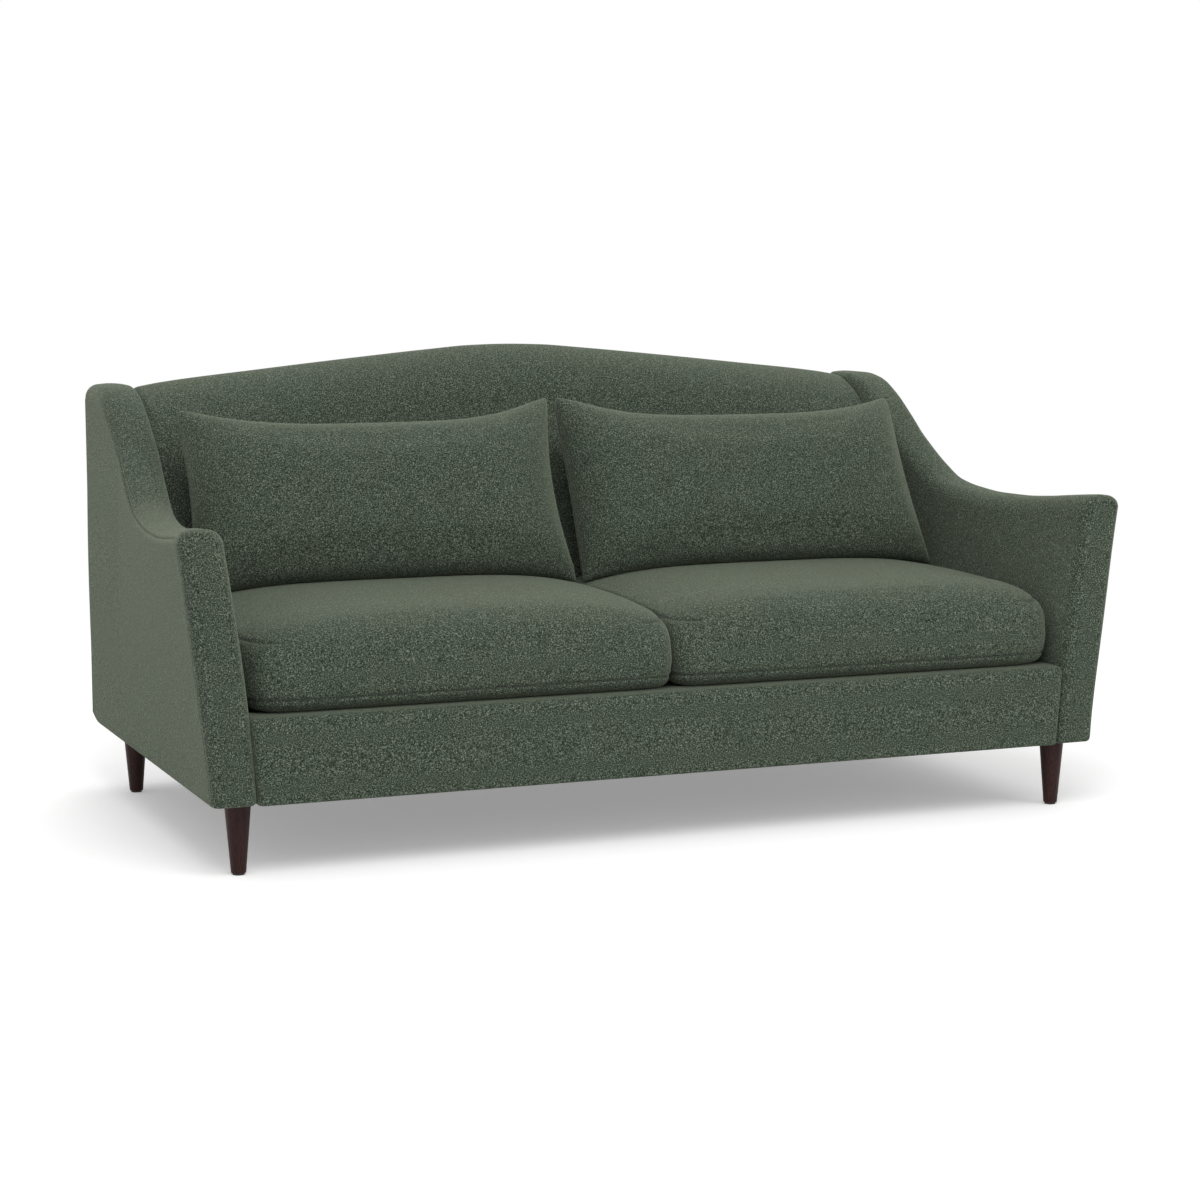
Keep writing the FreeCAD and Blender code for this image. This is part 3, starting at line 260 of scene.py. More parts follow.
class Nodes:
    """Builds one material, node by node."""

    def __init__(self, name):
        self.material = bpy.data.materials.new(name)
        self.material.use_nodes = True
        self.tree = self.material.node_tree
        self.shader = self.tree.nodes["Principled BSDF"]

    def add(self, kind, inputs=None, **settings):
        return add_node(self.tree, kind, inputs, **settings)

    def place(self, scale=(1, 1, 1)):
        """Object coordinates, stretched by the scale."""
        where = self.add("ShaderNodeTexCoord").outputs["Object"]
        return self.add("ShaderNodeMapping", {"Vector": where, "Scale": scale}).outputs[0]

    def noise(self, at, scale, detail=2.0, rough=0.5):
        return self.add("ShaderNodeTexNoise", {
            "Vector": at, "Scale": scale, "Detail": detail, "Roughness": rough}).outputs["Fac"]

    def ramp(self, value, stops):
        node = self.add("ShaderNodeValToRGB", {"Fac": value})
        marks = node.color_ramp.elements
        while len(marks) < len(stops):
            marks.new(0.5)
        for mark, (place, colour) in zip(marks, stops):
            mark.position = place
            mark.color = (*colour, 1)
        return node.outputs["Color"]

    def math(self, kind, a, b):
        return self.add("ShaderNodeMath", {0: a, 1: b}, operation=kind).outputs[0]

    def mix(self, factor, a, b, blend="MIX"):
        a, b = (c if isinstance(c, bpy.types.NodeSocket) else (*c, 1) for c in (a, b))
        return self.add("ShaderNodeMix", {"Factor": factor, 6: a, 7: b},
                        data_type="RGBA", blend_type=blend).outputs[2]

    def bump(self, height, distance, strength):
        return self.add("ShaderNodeBump", {
            "Height": height, "Distance": distance, "Strength": strength}).outputs[0]

    def finish(self, colour, rough, normal, **plain):
        set_inputs(self.tree, self.shader, {
            "Base Color": colour, "Roughness": rough, "Normal": normal,
            **{key.replace("_", " "): value for key, value in plain.items()}})
        return self.material


print("nodes ready")

# %% The cloth of the cover
def boucle():
    """Looped wool in light and dark green yarn."""
    n = Nodes("boucle_green")
    at = n.place()
    loops = n.add("ShaderNodeTexVoronoi", {"Vector": at, "Scale": 420.0, "Smoothness": 0.6},
                  feature="SMOOTH_F1").outputs["Distance"]
    yarn = n.noise(at, 400.0, 2.0, 0.7)
    cloud = n.noise(at, 7.0, 3.0, 0.55)
    speckle = n.ramp(yarn, [
        (0.34, (0.010, 0.015, 0.011)), (0.46, (0.040, 0.055, 0.040)),
        (0.56, (0.088, 0.110, 0.084)), (0.68, (0.255, 0.285, 0.225))])
    # painted shade: the hollows between the loops, where the bump sinks, are darkened in the colour
    deep = n.ramp(loops, [(0.15, (1.0, 1.0, 1.0)), (0.75, (0.55, 0.58, 0.55))])
    colour = n.mix(0.55, speckle, deep, "MULTIPLY")
    tint = n.ramp(cloud, [(0.35, (0.955, 0.975, 0.965)), (0.65, (0.995, 0.975, 0.945))])
    colour = n.mix(1.0, colour, tint, "MULTIPLY")
    # painted shade: the 'seam' value from the tucked and creased seams darkens the cloth along each
    # seam line
    seam = n.add("ShaderNodeAttribute", attribute_name="seam").outputs["Fac"]
    colour = n.mix(n.math("MULTIPLY", seam, 0.6), colour, (0.012, 0.014, 0.012))
    fuzz = n.noise(at, 1100.0, 2.0, 0.7)
    height = n.math("SUBTRACT", n.math("MULTIPLY", fuzz, 0.25), loops)
    normal = n.bump(height, 0.0013, 0.8)
    return n.finish(colour, 0.95, normal, Sheen_Weight=0.30, Sheen_Roughness=0.42,
                    Sheen_Tint=(0.73, 0.82, 0.61, 1), Specular_IOR_Level=0.12)


cover_cloth = boucle()
print("cover:", cover_cloth.name)

# %% [markdown]
# ## Woods, metals and the cloths inside
# The legs are dark stained walnut, turned, so the grain runs up them in long stretched noise under
# a satin varnish. The rails inside are plain sawn beech and birch ply, and the webbing, felt, foam
# and lining each get their own weave or grain at real size, because the sofa can be taken apart.

# %% Finishes of the other parts
def grained(name, light, dark, stretch, rough, coat=0.0, bands=34.0):
    """Wood: noise stretched along the grain, with darker pores."""
    n = Nodes(name)
    at = n.place(stretch)
    rings = n.noise(at, bands, 4.0, 0.6)
    pores = n.noise(at, bands * 9, 2.0, 0.5)
    colour = n.ramp(rings, [(0.3, dark), (0.7, light)])
    in_pores = n.ramp(pores, [(0.35, (1, 1, 1)), (0.5, (0, 0, 0))])
    colour = n.mix(in_pores, colour, tuple(c * 0.6 for c in dark))
    normal = n.bump(n.math("ADD", rings, pores), 0.0003, 0.35)
    return n.finish(colour, rough, normal, Coat_Weight=coat, Coat_Roughness=0.25,
                    Specular_IOR_Level=0.15)


def woven(name, warp, weft, pitch):
    """Plain weave: two crossed waves raise and colour the yarns."""
    n = Nodes(name)
    at = n.place()
    waves = [n.add("ShaderNodeTexWave", {
        "Vector": at, "Scale": math.pi / pitch / 10, "Distortion": 0.4},
        bands_direction=way).outputs["Fac"] for way in "XY"]
    pattern = n.math("MULTIPLY", *waves)
    worn = n.noise(at, 60.0)
    colour = n.mix(pattern, warp, weft)
    colour = n.mix(n.math("MULTIPLY", worn, 0.4), colour, tuple(0.7 * c for c in warp))
    normal = n.bump(pattern, pitch / 4, 0.6)
    return n.finish(colour, 0.9, normal, Sheen_Weight=0.15, Specular_IOR_Level=0.2)


def foamed(name, colour, cell):
    """Open-cell foam or matted fibre: fine pits in a pale ground, the pits darkened as painted
    shade.
    """
    n = Nodes(name)
    at = n.place()
    pits = n.add("ShaderNodeTexVoronoi", {"Vector": at, "Scale": 1 / cell}).outputs["Distance"]
    patchy = n.noise(at, 12.0)
    # painted shade: the pits, where the bump sinks, are darker in the colour
    tone = n.ramp(pits, [(0.0, tuple(c * 0.72 for c in colour)), (0.5, colour)])
    tone = n.mix(n.math("MULTIPLY", patchy, 0.2), tone, tuple(c * 0.85 for c in colour))
    return n.finish(tone, 0.95, n.bump(pits, cell / 3, 0.5), Specular_IOR_Level=0.1)


def moulded(name, colour, rough, metallic=0.0):
    """Metal or plastic with a faint uneven polish."""
    n = Nodes(name)
    at = n.place()
    uneven = n.noise(at, 240.0, 3.0)
    tone = n.mix(n.math("MULTIPLY", uneven, 0.35), colour, tuple(c * 0.7 for c in colour))
    worn = n.math("ADD", n.math("MULTIPLY", uneven, 0.2), rough - 0.1)
    return n.finish(tone, worn, n.bump(uneven, 0.0001, 0.3), Metallic=metallic)


finishes = {
    "green_weave": cover_cloth,
    "platform_cloth": woven("platform_twill", (0.05, 0.06, 0.05), (0.09, 0.10, 0.09), 0.0012),
    "dust_cloth": woven("dust_cloth_black", (0.012, 0.012, 0.012), (0.03, 0.03, 0.03), 0.0015),
    "foam": foamed("foam_cream", (0.80, 0.74, 0.58), 0.0016),
    "fibre": foamed("fibre_white", (0.82, 0.81, 0.77), 0.003),
    "hardwood": grained("beech_sawn", (0.50, 0.33, 0.19), (0.34, 0.20, 0.11), (1, 1, 0.2), 0.65),
    "plywood": grained("birch_ply", (0.58, 0.42, 0.26), (0.46, 0.31, 0.18), (0.3, 1, 1), 0.6),
    "dark_walnut": grained("walnut_dark", (0.044, 0.0145, 0.0120), (0.016, 0.0055, 0.0050),
                           (1, 1, 0.06), 0.48, 0.06, 90.0),
    "webbing": woven("webbing_jute", (0.16, 0.12, 0.08), (0.30, 0.25, 0.18), 0.0022),
    "steel": moulded("steel_zinc", (0.50, 0.50, 0.50), 0.4, 1.0),
    "nylon": moulded("nylon_black", (0.02, 0.02, 0.02), 0.5),
    "zip_nylon": woven("zip_tape_green", (0.035, 0.050, 0.038), (0.07, 0.09, 0.07), 0.0008),
}
slots = {row["node"]: row["material_slot"] for row in frame["record"]["subparts"]}
for node, thing in frame["nodes"].items():
    thing.data.materials.clear()
    thing.data.materials.append(finishes[slots[node]])
print(len(finishes), "finishes on", len(frame["nodes"]), "nodes")

# %% [markdown]
# ## Arms
# Each arm starts low and flared at the front, sweeps up and ends plumb and as high as the back. Its
# cover wraps the inside, top and front; a second panel closes the outside, and a seam runs between
# them just below the top. The whole arm is made as one skin of outlines from front to rear, and
# then parted at the seam, because two panels cut from one form meet exactly.

# %% The outline of an arm
ARM_TOP = smooth_line([
    (0.000, 0.096), (0.030, 0.088), (0.100, 0.060), (0.180, 0.025), (0.265, 0.003), (0.360, 0.000),
    (0.450, 0.026), (0.530, 0.084), (0.600, 0.225), (0.680, 0.445), (0.755, 0.682), (0.820, 0.864),
    (0.875, 0.968), (0.930, 1.000), (1.000, 1.000)])
ARM_LOW_TOP, ARM_REAR_TOP = 0.639, 0.884
FRONT_LEAN, LEAN_END, LEAN_POWER = 0.056, 0.70, 1.35
OUT_ROUND, OUT_ROUND_MORE = 0.027, 0.003
IN_ROUND, IN_ROUND_LESS, LEAST_ROUND = 0.036, 0.021, 0.004
FOOT_ROUND, REAR_FOOT_ROUND, FOOT_ROUND_REACH = 0.010, 0.026, 0.060
OUT_CROWN, IN_CROWN, TOP_CROWN = 0.0035, 0.001, 0.0016
SHOULDER_TURNS = (0, 8, 15, 20, 23, 25.5, 27, 28.5, 31, 35, 41, 48, 56, 64, 73, 82)
FOOT_STEPS, SIDE_STEPS = 5, 25
SEAM_INDEX = 2 * FOOT_STEPS + SIDE_STEPS + SHOULDER_TURNS.index(27)
EDGE_HANG = 0.0025


def lean_at(along, high, z):
    """How far the arm's side leans outward, from the share along it, its rise and the height."""
    top = ARM_LOW_TOP + high * (ARM_REAR_TOP - ARM_LOW_TOP)
    full = top - OUT_ROUND - OUT_ROUND_MORE * high - body_low
    lean = FRONT_LEAN * np.maximum(0, 1 - along / LEAN_END)
    return lean * (np.maximum(0, z - body_low) / full) ** LEAN_POWER


def arm_outline(y, inset):
    """Points across the arm from under its outer side, over its top, to under its inner side."""
    along = min(max((y - front) / arm_run, 0.0), 1.0)
    high = ARM_TOP(along)
    top = ARM_LOW_TOP + high * (ARM_REAR_TOP - ARM_LOW_TOP)
    out_round = max(OUT_ROUND + OUT_ROUND_MORE * high - inset, LEAST_ROUND)
    in_round = max(IN_ROUND - IN_ROUND_LESS * high - inset, LEAST_ROUND)
    low, crest = body_low - EDGE_HANG + 0.2 * inset, top - 0.7 * inset
    outer, inner = side - 0.85 * inset, arm_inside + 0.75 * inset
    out_high, in_high = crest - out_round, crest - in_round

    def side_at(x, z, crown):
        swell = math.sin(math.pi * min(max((z - low) / (out_high - low), 0), 1)) ** 2
        return x + lean_at(along, high, z) + crown * swell, z

    behind = max(0.0, 1 - (rear_face - y) / FOOT_ROUND_REACH) ** 2
    foot = min(FOOT_ROUND + behind * (REAR_FOOT_ROUND - FOOT_ROUND), 0.4 * (outer - inner))
    middle, foot_high = (outer + inner) / 2, low + foot
    shoulder = outer + lean_at(along, high, out_high) - out_round
    hollow = inner + lean_at(along, high, in_high) + in_round
    line = run((middle, low), (outer - foot, low), FOOT_STEPS)
    line += quarter((outer - foot, foot_high), foot, -90, 0, FOOT_STEPS)
    line += [side_at(outer, z, OUT_CROWN)
             for z in np.linspace(foot_high, out_high, SIDE_STEPS, endpoint=False)]
    for a in map(math.radians, SHOULDER_TURNS):
        line.append((shoulder + out_round * math.cos(a), out_high + out_round * math.sin(a)))
    for t in np.linspace(0, 1, 7, endpoint=False):
        line.append((shoulder + t * (hollow - shoulder), crest + TOP_CROWN * math.sin(math.pi * t)))
    line += quarter((hollow, in_high), in_round, 90, 180, 10)
    line += [side_at(inner, z, -IN_CROWN)
             for z in np.linspace(in_high, foot_high, SIDE_STEPS + 1, endpoint=False)]
    line += quarter((inner + foot, foot_high), foot, 180, 270, FOOT_STEPS)
    line += run((inner + foot, low), (middle, low), 5)
    return [(x, y, z) for x, z in line]


ALONG = np.linspace(0, 1, 121)
ARM_HIGH = np.array([ARM_TOP(a) for a in ALONG])


def arm_lean(y, z):
    """How far the arm's side leans outward at these places."""
    along = np.clip((y - front) / arm_run, 0, 1)
    return lean_at(along, np.interp(along, ALONG, ARM_HIGH), z)


print("arm top", ARM_LOW_TOP, "to", ARM_REAR_TOP, "high, of", len(arm_outline(0, 0)), "points")

# %% The skin of an arm
NOSE = 0.024
FRONT_FULL = 0.010
CAP_INSETS, CAP_SLOPE = (0.040, 0.035, 0.029), 0.08
SEAM_GAPS = (0.004, 0.0055, 0.0075, 0.011, 0.018, 0.026)
PANEL_RING = 12
COVER_THICK = 0.008


def arm_skin():
    """The whole right arm: its points, its faces and the number of points in a ring."""
    face = front - FRONT_FULL
    rings = [arm_outline(face - CAP_SLOPE * (inset - NOSE), inset) for inset in CAP_INSETS]
    for a in map(math.radians, np.linspace(90, 0, 11)):
        rings.append(arm_outline(face + NOSE * (1 - math.sin(a)), NOSE * (1 - math.cos(a))))
    rows = [face + NOSE + gap for gap in SEAM_GAPS]
    rows += list(np.linspace(front + NOSE + 0.018, rear_face, 84)[1:])
    rings += [arm_outline(y, 0.0) for y in rows]
    count = len(rings[0])
    faces = ring_faces(len(rings), count) + folded(count)
    return np.array([p for ring in rings for p in ring]), faces, count


points, faces, count = arm_skin()
print("arm skin:", len(points), "points in rings of", count)

# %% Cutting a panel from the skin
def part_of(name, points, faces):
    """A piece from some of a skin's faces, with only the points that they use."""
    used = sorted({i for face in faces for i in face})
    place = {i: k for k, i in enumerate(used)}
    return new_piece(name, points[used], [tuple(place[i] for i in face) for face in faces])


def walled(piece):
    """Give an open skin its thickness, inward."""
    wall = piece.modifiers.new("wall", "SOLIDIFY")
    wall.thickness = COVER_THICK
    wall.offset = -1
    wall.use_rim = True
    return baked(piece)


TUCK, TUCK_REACH, TUCK_SHADE = 0.0018, 0.0030, 0.0012


def tuck_share(co):
    """How much of the tuck is drawn: least at the front, and little at the rear of the top."""
    from_front = min(1, max(0.1, (co.y - front - 0.02) / 0.04))
    return from_front * min(1, max(0.3, (0.80 - co.z) / 0.12))


def tucked(piece):
    """Turn a panel's open edge in a little, as its seam pulls it, and paint shade along it."""
    work = bmesh.new()
    work.from_mesh(piece.data)
    bmesh.ops.recalc_face_normals(work, faces=work.faces)
    rim = [v.co.copy() for v in work.verts if v.is_boundary]
    tree = KDTree(len(rim))
    for k, co in enumerate(rim):
        tree.insert(co, k)
    tree.balance()
    work.normal_update()
    # the 'seam' value paints shade along the tucked seam in the cover's colour
    shade = work.verts.layers.float.new("seam")
    moves = []
    for v in work.verts:
        _, _, gap = tree.find(v.co)
        if gap < 3 * TUCK_REACH:
            share = tuck_share(v.co)
            moves.append((v, v.normal * TUCK * share * math.exp(-(gap / TUCK_REACH) ** 2)))
            v[shade] = share * math.exp(-(gap / TUCK_SHADE) ** 2)
    for v, move in moves:
        v.co -= move
    work.to_mesh(piece.data)
    work.free()
    return piece


print("seams are tucked", TUCK, "deep")

# %% The panels of both arms
def outside_face(face):
    """Whether a face of the skin belongs to the outside panel."""
    rings = [i // count for i in face]
    spots = [i % count for i in face]
    return min(rings) >= PANEL_RING and max(spots) <= SEAM_INDEX and max(rings) - min(rings) == 1


wrapped = [face for face in faces if not outside_face(face)]
panel = [face for face in faces if outside_face(face)]
right_arm = [(walled(tucked(part_of(f"right_{node}_fabric", points, those))), node)
             for node, those in (("arm_cover", wrapped), ("outside_arm", panel))]
left_arm = [(mirrored(piece, f"left_{node}_fabric"), node) for piece, node in right_arm]
for hand, arm in (("right", right_arm), ("left", left_arm)):
    for piece, node in arm:
        dressed(piece, f"{hand}_{node}", "sofa_frame", cover_cloth)

# %% [markdown]
# ## Inside back
# The inside back is one pad from arm to arm. It stands plumb behind the seat cushions, leans back
# above them and rolls over the camel-shaped top rail. Its outline is drawn from front to rear at
# many places across, and only the height of the top line changes between them.

# %% The outline of the back
CAMEL = smooth_line([
    (0.00, 1.000), (0.10, 0.975), (0.20, 0.893), (0.43, 0.670), (0.68, 0.405), (0.93, 0.118),
    (0.985, 0.02), (1.0, 0.0)])
HUMP, SIDE_TOP = 0.962, 0.877
RAKE_RUN, RAKE_RISE, BEND, BEND_SOFT = 0.151, 0.295, 0.455, 0.05
RAKE = RAKE_RUN / RAKE_RISE
RAKE_SLANT = math.hypot(1, RAKE)
CREST_BACK, ROLL_FULL, EDGE_DROP = 0.078, 0.023, 0.013
PAD_THICK, PAD_LEAST = 0.030, 0.006
back_half = arm_inside - 0.0006


def arc_through(a, b, c, steps):
    """Points on the arc from a through b to c, without the last."""
    a, b, c = complex(*a), complex(*b), complex(*c)
    ratio = (c - a) / (b - a)
    centre = a + (b - a) * (ratio - abs(ratio) ** 2) / (2j * ratio.imag)
    start, mid, end = (math.atan2((p - centre).imag, (p - centre).real) for p in (a, b, c))
    full = 2 * math.pi
    way = 1 if (mid - start) % full < (end - start) % full else -1
    sweep = (end - start) * way % full * way
    radius = abs(a - centre)
    spots = [centre + radius * np.exp(1j * (start + sweep * k / steps)) for k in range(steps)]
    return [(spot.real, spot.imag) for spot in spots]


def back_outline(x, inset):
    """Points of the back's outer face from its foot to its rear edge, as Y and Z."""
    rise = CAMEL(abs(x) / back_half) * (HUMP - SIDE_TOP)
    foot_y = back_foot + inset
    bend = (foot_y, BEND - inset * (RAKE_SLANT - 1) / RAKE)
    top = (back_foot + RAKE_RUN + RAKE * rise + inset / RAKE_SLANT,
           BEND + RAKE_RISE + rise - inset * RAKE / RAKE_SLANT)
    crest = (rear - CREST_BACK, SIDE_TOP + rise - inset)
    chord = (crest[0] - top[0], crest[1] - top[1])
    bulge = ROLL_FULL / math.hypot(*chord)
    roll = ((top[0] + crest[0]) / 2 - chord[1] * bulge, (top[1] + crest[1]) / 2 + chord[0] * bulge)
    edge = (rear_face, crest[1] - EDGE_DROP)
    behind = (crest[0] + 0.6 * (edge[0] - crest[0]), crest[1] - 0.25 * EDGE_DROP)
    start = (foot_y, bend[1] - BEND_SOFT)
    end = (bend[0] + BEND_SOFT * RAKE / RAKE_SLANT, bend[1] + BEND_SOFT / RAKE_SLANT)
    line = run((foot_y, back_low), start, 10) + bezier((start, bend, end), 8)
    line += run(end, top, 22)
    line += arc_through(top, roll, crest, 16)
    line += arc_through(crest, behind, edge, 8)
    return line + [edge]


def thick_outline(x, inset):
    """The same with its inner face, running back to the foot."""
    outer = np.array(back_outline(x, inset))
    along = np.gradient(outer, axis=0)
    along /= np.linalg.norm(along, axis=1)[:, None]
    inward = np.stack([along[:, 1], -along[:, 0]], axis=1)
    inner = outer + inward * max(PAD_THICK - inset, PAD_LEAST)
    inner[:, 0] = np.minimum(inner[:, 0], rear_face)
    return [(x, y, z) for y, z in outer] + [(x, y, z) for y, z in inner[::-1]]


print("back top", SIDE_TOP, "to", HUMP, "high, outline of", len(back_outline(0, 0)), "points")

# %% The pad of the inside back
END_ROUND = 0.018
rings = [thick_outline(x, inset) for x, inset in eased_places(back_half, END_ROUND, 7, 90)]
inside_back = ringed_piece("inside_back_fabric", rings, folded(len(rings[0])))
dressed(inside_back, "inside_back_pad", "sofa_frame", cover_cloth)

# %% [markdown]
# ## Outside back, front border, platform and lining
# These are flat or nearly flat panels: card and cover at the rear, a padded strip under the seat
# cushions, a felt-topped platform that the cushions lie on, and a thin black lining under the body.
# A panel is its outline drawn out to its thickness, with its outer edges eased as wadding does.

# %% The outside back
def eased_panel(name, outline, y0, y1, ease):
    """A panel in the X-Z plane between two depths, its rear edge eased."""
    work = bmesh.new()
    near = [work.verts.new((x, y0, z)) for x, z in outline]
    face = work.faces.new(near)
    drawn = bmesh.ops.extrude_face_region(work, geom=[face])
    moved = [v for v in drawn["geom"] if isinstance(v, bmesh.types.BMVert)]
    bmesh.ops.translate(work, verts=moved, vec=(0, y1 - y0, 0))
    bmesh.ops.recalc_face_normals(work, faces=work.faces)
    rim = [e for e in work.edges if all(abs(v.co.y - y1) < 1e-7 for v in e.verts)]
    bmesh.ops.bevel(work, geom=rim, offset=ease, segments=3, affect="EDGES", profile=0.5)
    mesh = bpy.data.meshes.new(name)
    work.to_mesh(mesh)
    work.free()
    mesh.shade_smooth()
    mesh.set_sharp_from_angle(angle=math.radians(35))
    return linked(name, mesh)


PANEL_DROP, OUT_SHOULDER, IN_SHOULDER = 0.0065, 0.030, 0.015


def shoulder_line():
    """The right half of the outside back's outline, from the foot to the middle of the top."""
    top, foot = ARM_REAR_TOP - PANEL_DROP, REAR_FOOT_ROUND
    line = quarter((side - foot, body_low - EDGE_HANG + foot), foot, -90, 0, 7)
    line += quarter((side - OUT_SHOULDER, top - OUT_SHOULDER), OUT_SHOULDER, 0, 90, 8)
    line += quarter((arm_inside + IN_SHOULDER, top - IN_SHOULDER), IN_SHOULDER, 90, 180, 6)
    line.append((arm_inside, top - IN_SHOULDER))
    for x in np.linspace(1, 0, 30, endpoint=False):
        line.append((x * back_half, SIDE_TOP + CAMEL(x) * (HUMP - SIDE_TOP) - EDGE_DROP))
    return line


right_half = shoulder_line()
outline = right_half + [(0, HUMP - EDGE_DROP)] + [(-x, z) for x, z in reversed(right_half)]
outside_back = eased_panel("outside_back_fabric", outline, rear_face, rear, 0.003)
dressed(outside_back, "outside_back", "sofa_frame", cover_cloth)

# %% The front border
BORDER_THICK, LIP_DEEP = 0.029, 0.040
TOP_EASE, LOW_EASE, END_EASE, BORDER_CROWN = 0.014, 0.005, 0.010, 0.002
border_half = arm_inside - 0.0003


def border_outline(inset):
    """The border from its lower rear corner round its face to its lip, as Y and Z."""
    low, top = body_low - EDGE_HANG + 0.3 * inset, deck_top - 0.8 * inset
    back, lip = front + BORDER_THICK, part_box("seat_platform")[0][2]
    lip_back = back + LIP_DEEP
    face = front - FRONT_FULL + inset
    line = run((back, low), (face + LOW_EASE, low), 3)
    line += quarter((face + LOW_EASE, low + LOW_EASE), LOW_EASE, -90, -180, 6)
    for t in np.linspace(0, 1, 12, endpoint=False):
        z = low + LOW_EASE + t * (top - low - TOP_EASE - LOW_EASE)
        line.append((face - BORDER_CROWN * math.sin(math.pi * t), z))
    line += quarter((face + TOP_EASE, top - TOP_EASE), TOP_EASE, 180, 90, 6)
    ends = ((face + TOP_EASE, top), (lip_back, top), (lip_back, lip), (back, lip), (back, low))
    for start, end, steps in zip(ends, ends[1:], (6, 3, 4, 8)):
        line += run(start, end, steps)
    return line


def between_arms(x, y, z):
    """Widen the border so that its ends follow the arms' lean."""
    return x * (1 + arm_lean(y, z) / border_half), y, z


rings = [[between_arms(x, y, z) for y, z in border_outline(inset)]
         for x, inset in eased_places(border_half, END_EASE, 6, 70)]
border = ringed_piece("front_border_fabric", rings, [range(len(rings[0]))])
dressed(border, "front_border", "sofa_frame", cover_cloth)

# %% The seat platform and the lining
def soft_slab(name, low, high, ease, crown):
    """A slab with eased edges and a top that rises a little to its middle."""
    (x0, y0, z0), (x1, y1, z1) = low, high
    columns, rows = 60, 24
    rings = []
    for v in np.linspace(0, 1, rows):
        top = []
        for u in np.linspace(0, 1, columns):
            x, y = x0 + u * (x1 - x0), y0 + v * (y1 - y0)
            edge = min(x - x0, x1 - x, y - y0, y1 - y)
            fall = ease - math.sqrt(max(0.0, ease**2 - max(0.0, ease - edge) ** 2))
            crowned = (1 - (2 * u - 1) ** 4) * (1 - (2 * v - 1) ** 4)
            top.append((x, y, z1 - fall - crown * (1 - crowned)))
        rings.append(top + [(x, y, z0) for x, y, _ in reversed(top)])
    return ringed_piece(name, rings, folded(2 * columns))


platform = soft_slab("seat_platform_cloth", *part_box("seat_platform"), 0.006, 0.0012)
dressed(platform, "seat_platform", "sofa_frame", finishes["platform_cloth"])

LINING_THICK = 0.0008
low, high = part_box("dust_cover")
lining = soft_slab("dust_cover_cloth", low, (high[0], high[1], low[2] + LINING_THICK), 0.0001, 0.0)
dressed(lining, "dust_cover", "sofa_frame", finishes["dust_cloth"])

# %% [markdown]
# ## Cushions
# A cushion cover is sewn from flat cloth and swells over its filling, so its crown, its drawn-in
# edges and its small wrinkles come from pressure. Each form is drawn at its sewn size, remeshed to
# even faces, and blown up with Blender's Cloth for twenty frames. How far a point may move is
# capped, least along the seams, and each point is kept in the space between the neighbours.

# %% Swelling by simulation
VOXEL = 0.006
PRESSURE, FRAMES, SWELL_ROUNDS = 4.0, 20, 40
CLOTH = {"use_pressure": True, "uniform_pressure_force": PRESSURE, "tension_stiffness": 15,
         "compression_stiffness": 15, "shear_stiffness": 5, "bending_stiffness": 0.6, "mass": 0.3,
         "quality": 5}


def voxelled(piece):
    """Even faces over the whole piece."""
    grid = piece.modifiers.new("grid", "REMESH")
    grid.mode = "VOXEL"
    grid.voxel_size = VOXEL
    grid.use_smooth_shade = True
    return baked(piece)


def evened(piece, values):
    """Each point's value averaged with its neighbours', some rounds over."""
    ends = np.empty(len(piece.data.edges) * 2, dtype=np.int64)
    piece.data.edges.foreach_get("vertices", ends)
    near, far = ends.reshape(-1, 2).T
    at, other = np.concatenate([near, far]), np.concatenate([far, near])
    count = np.maximum(np.bincount(at, minlength=len(values)), 1)
    for _ in range(SWELL_ROUNDS):
        around = np.bincount(at, weights=values[other], minlength=len(values)) / count
        values = 0.5 * values + 0.5 * around
    return values


def swelled(piece, cap_at, keep_in):
    """Blow the piece up, cap and even out how far each point moves, and keep it in its space."""
    voxelled(piece)
    start, normals = per_point(piece), per_point(piece, "normal")
    cloth = piece.modifiers.new("cloth", "CLOTH")
    for key, value in CLOTH.items():
        setattr(cloth.settings, key, value)
    cloth.settings.effector_weights.gravity = 0
    cloth.collision_settings.use_collision = False
    cloth.point_cache.frame_start = 1
    cloth.point_cache.frame_end = FRAMES
    for step in range(1, FRAMES + 1):
        bpy.context.scene.frame_set(step)
    baked(piece)
    bpy.context.scene.frame_set(1)
    swell = np.maximum(((per_point(piece) - start) * normals).sum(axis=1), 0)
    swell = evened(piece, np.minimum(swell, cap_at(start)))
    set_places(piece, keep_in(start + normals * swell[:, None]))
    print(piece.name, "swelled by", round(float(swell.mean()) * 1000, 1), "mm on average")
    more = piece.modifiers.new("finer", "SUBSURF")
    more.levels = more.render_levels = 1
    baked(piece)
    piece.data.shade_smooth()


print("swelling for", FRAMES, "frames")

# %% Seams, and both cushions of a pair
SEAM_WIDE = 0.0032


def creased(piece, gap_at, depth):
    """Draw the surface in along a seam and paint shade along it: gap_at gives each point's distance
    to it.
    """
    co = per_point(piece)
    if "seam" not in piece.data.attributes:
        piece.data.attributes.new("seam", "FLOAT", "POINT")
    seam = piece.data.attributes["seam"].data
    shade, gaps = np.empty(len(co)), gap_at(co)
    seam.foreach_get("value", shade)
    seam.foreach_set("value", np.maximum(shade, np.exp(-(gaps / (0.6 * SEAM_WIDE)) ** 2)))
    pull = depth * np.exp(-(gaps / SEAM_WIDE) ** 2)
    set_places(piece, co - per_point(piece, "normal") * pull[:, None])


def dressed_loose(loose, parts):
    """Dress all parts of the right loose cushion and then those of the left one."""
    for k, hand in enumerate(("right", "left")):
        for part, pair, slot, fill, finish in parts:
            dressed(pair[k], f"{hand}_{loose}_{part}", f"{hand}_{loose}", finish)


print("seams", SEAM_WIDE, "wide")

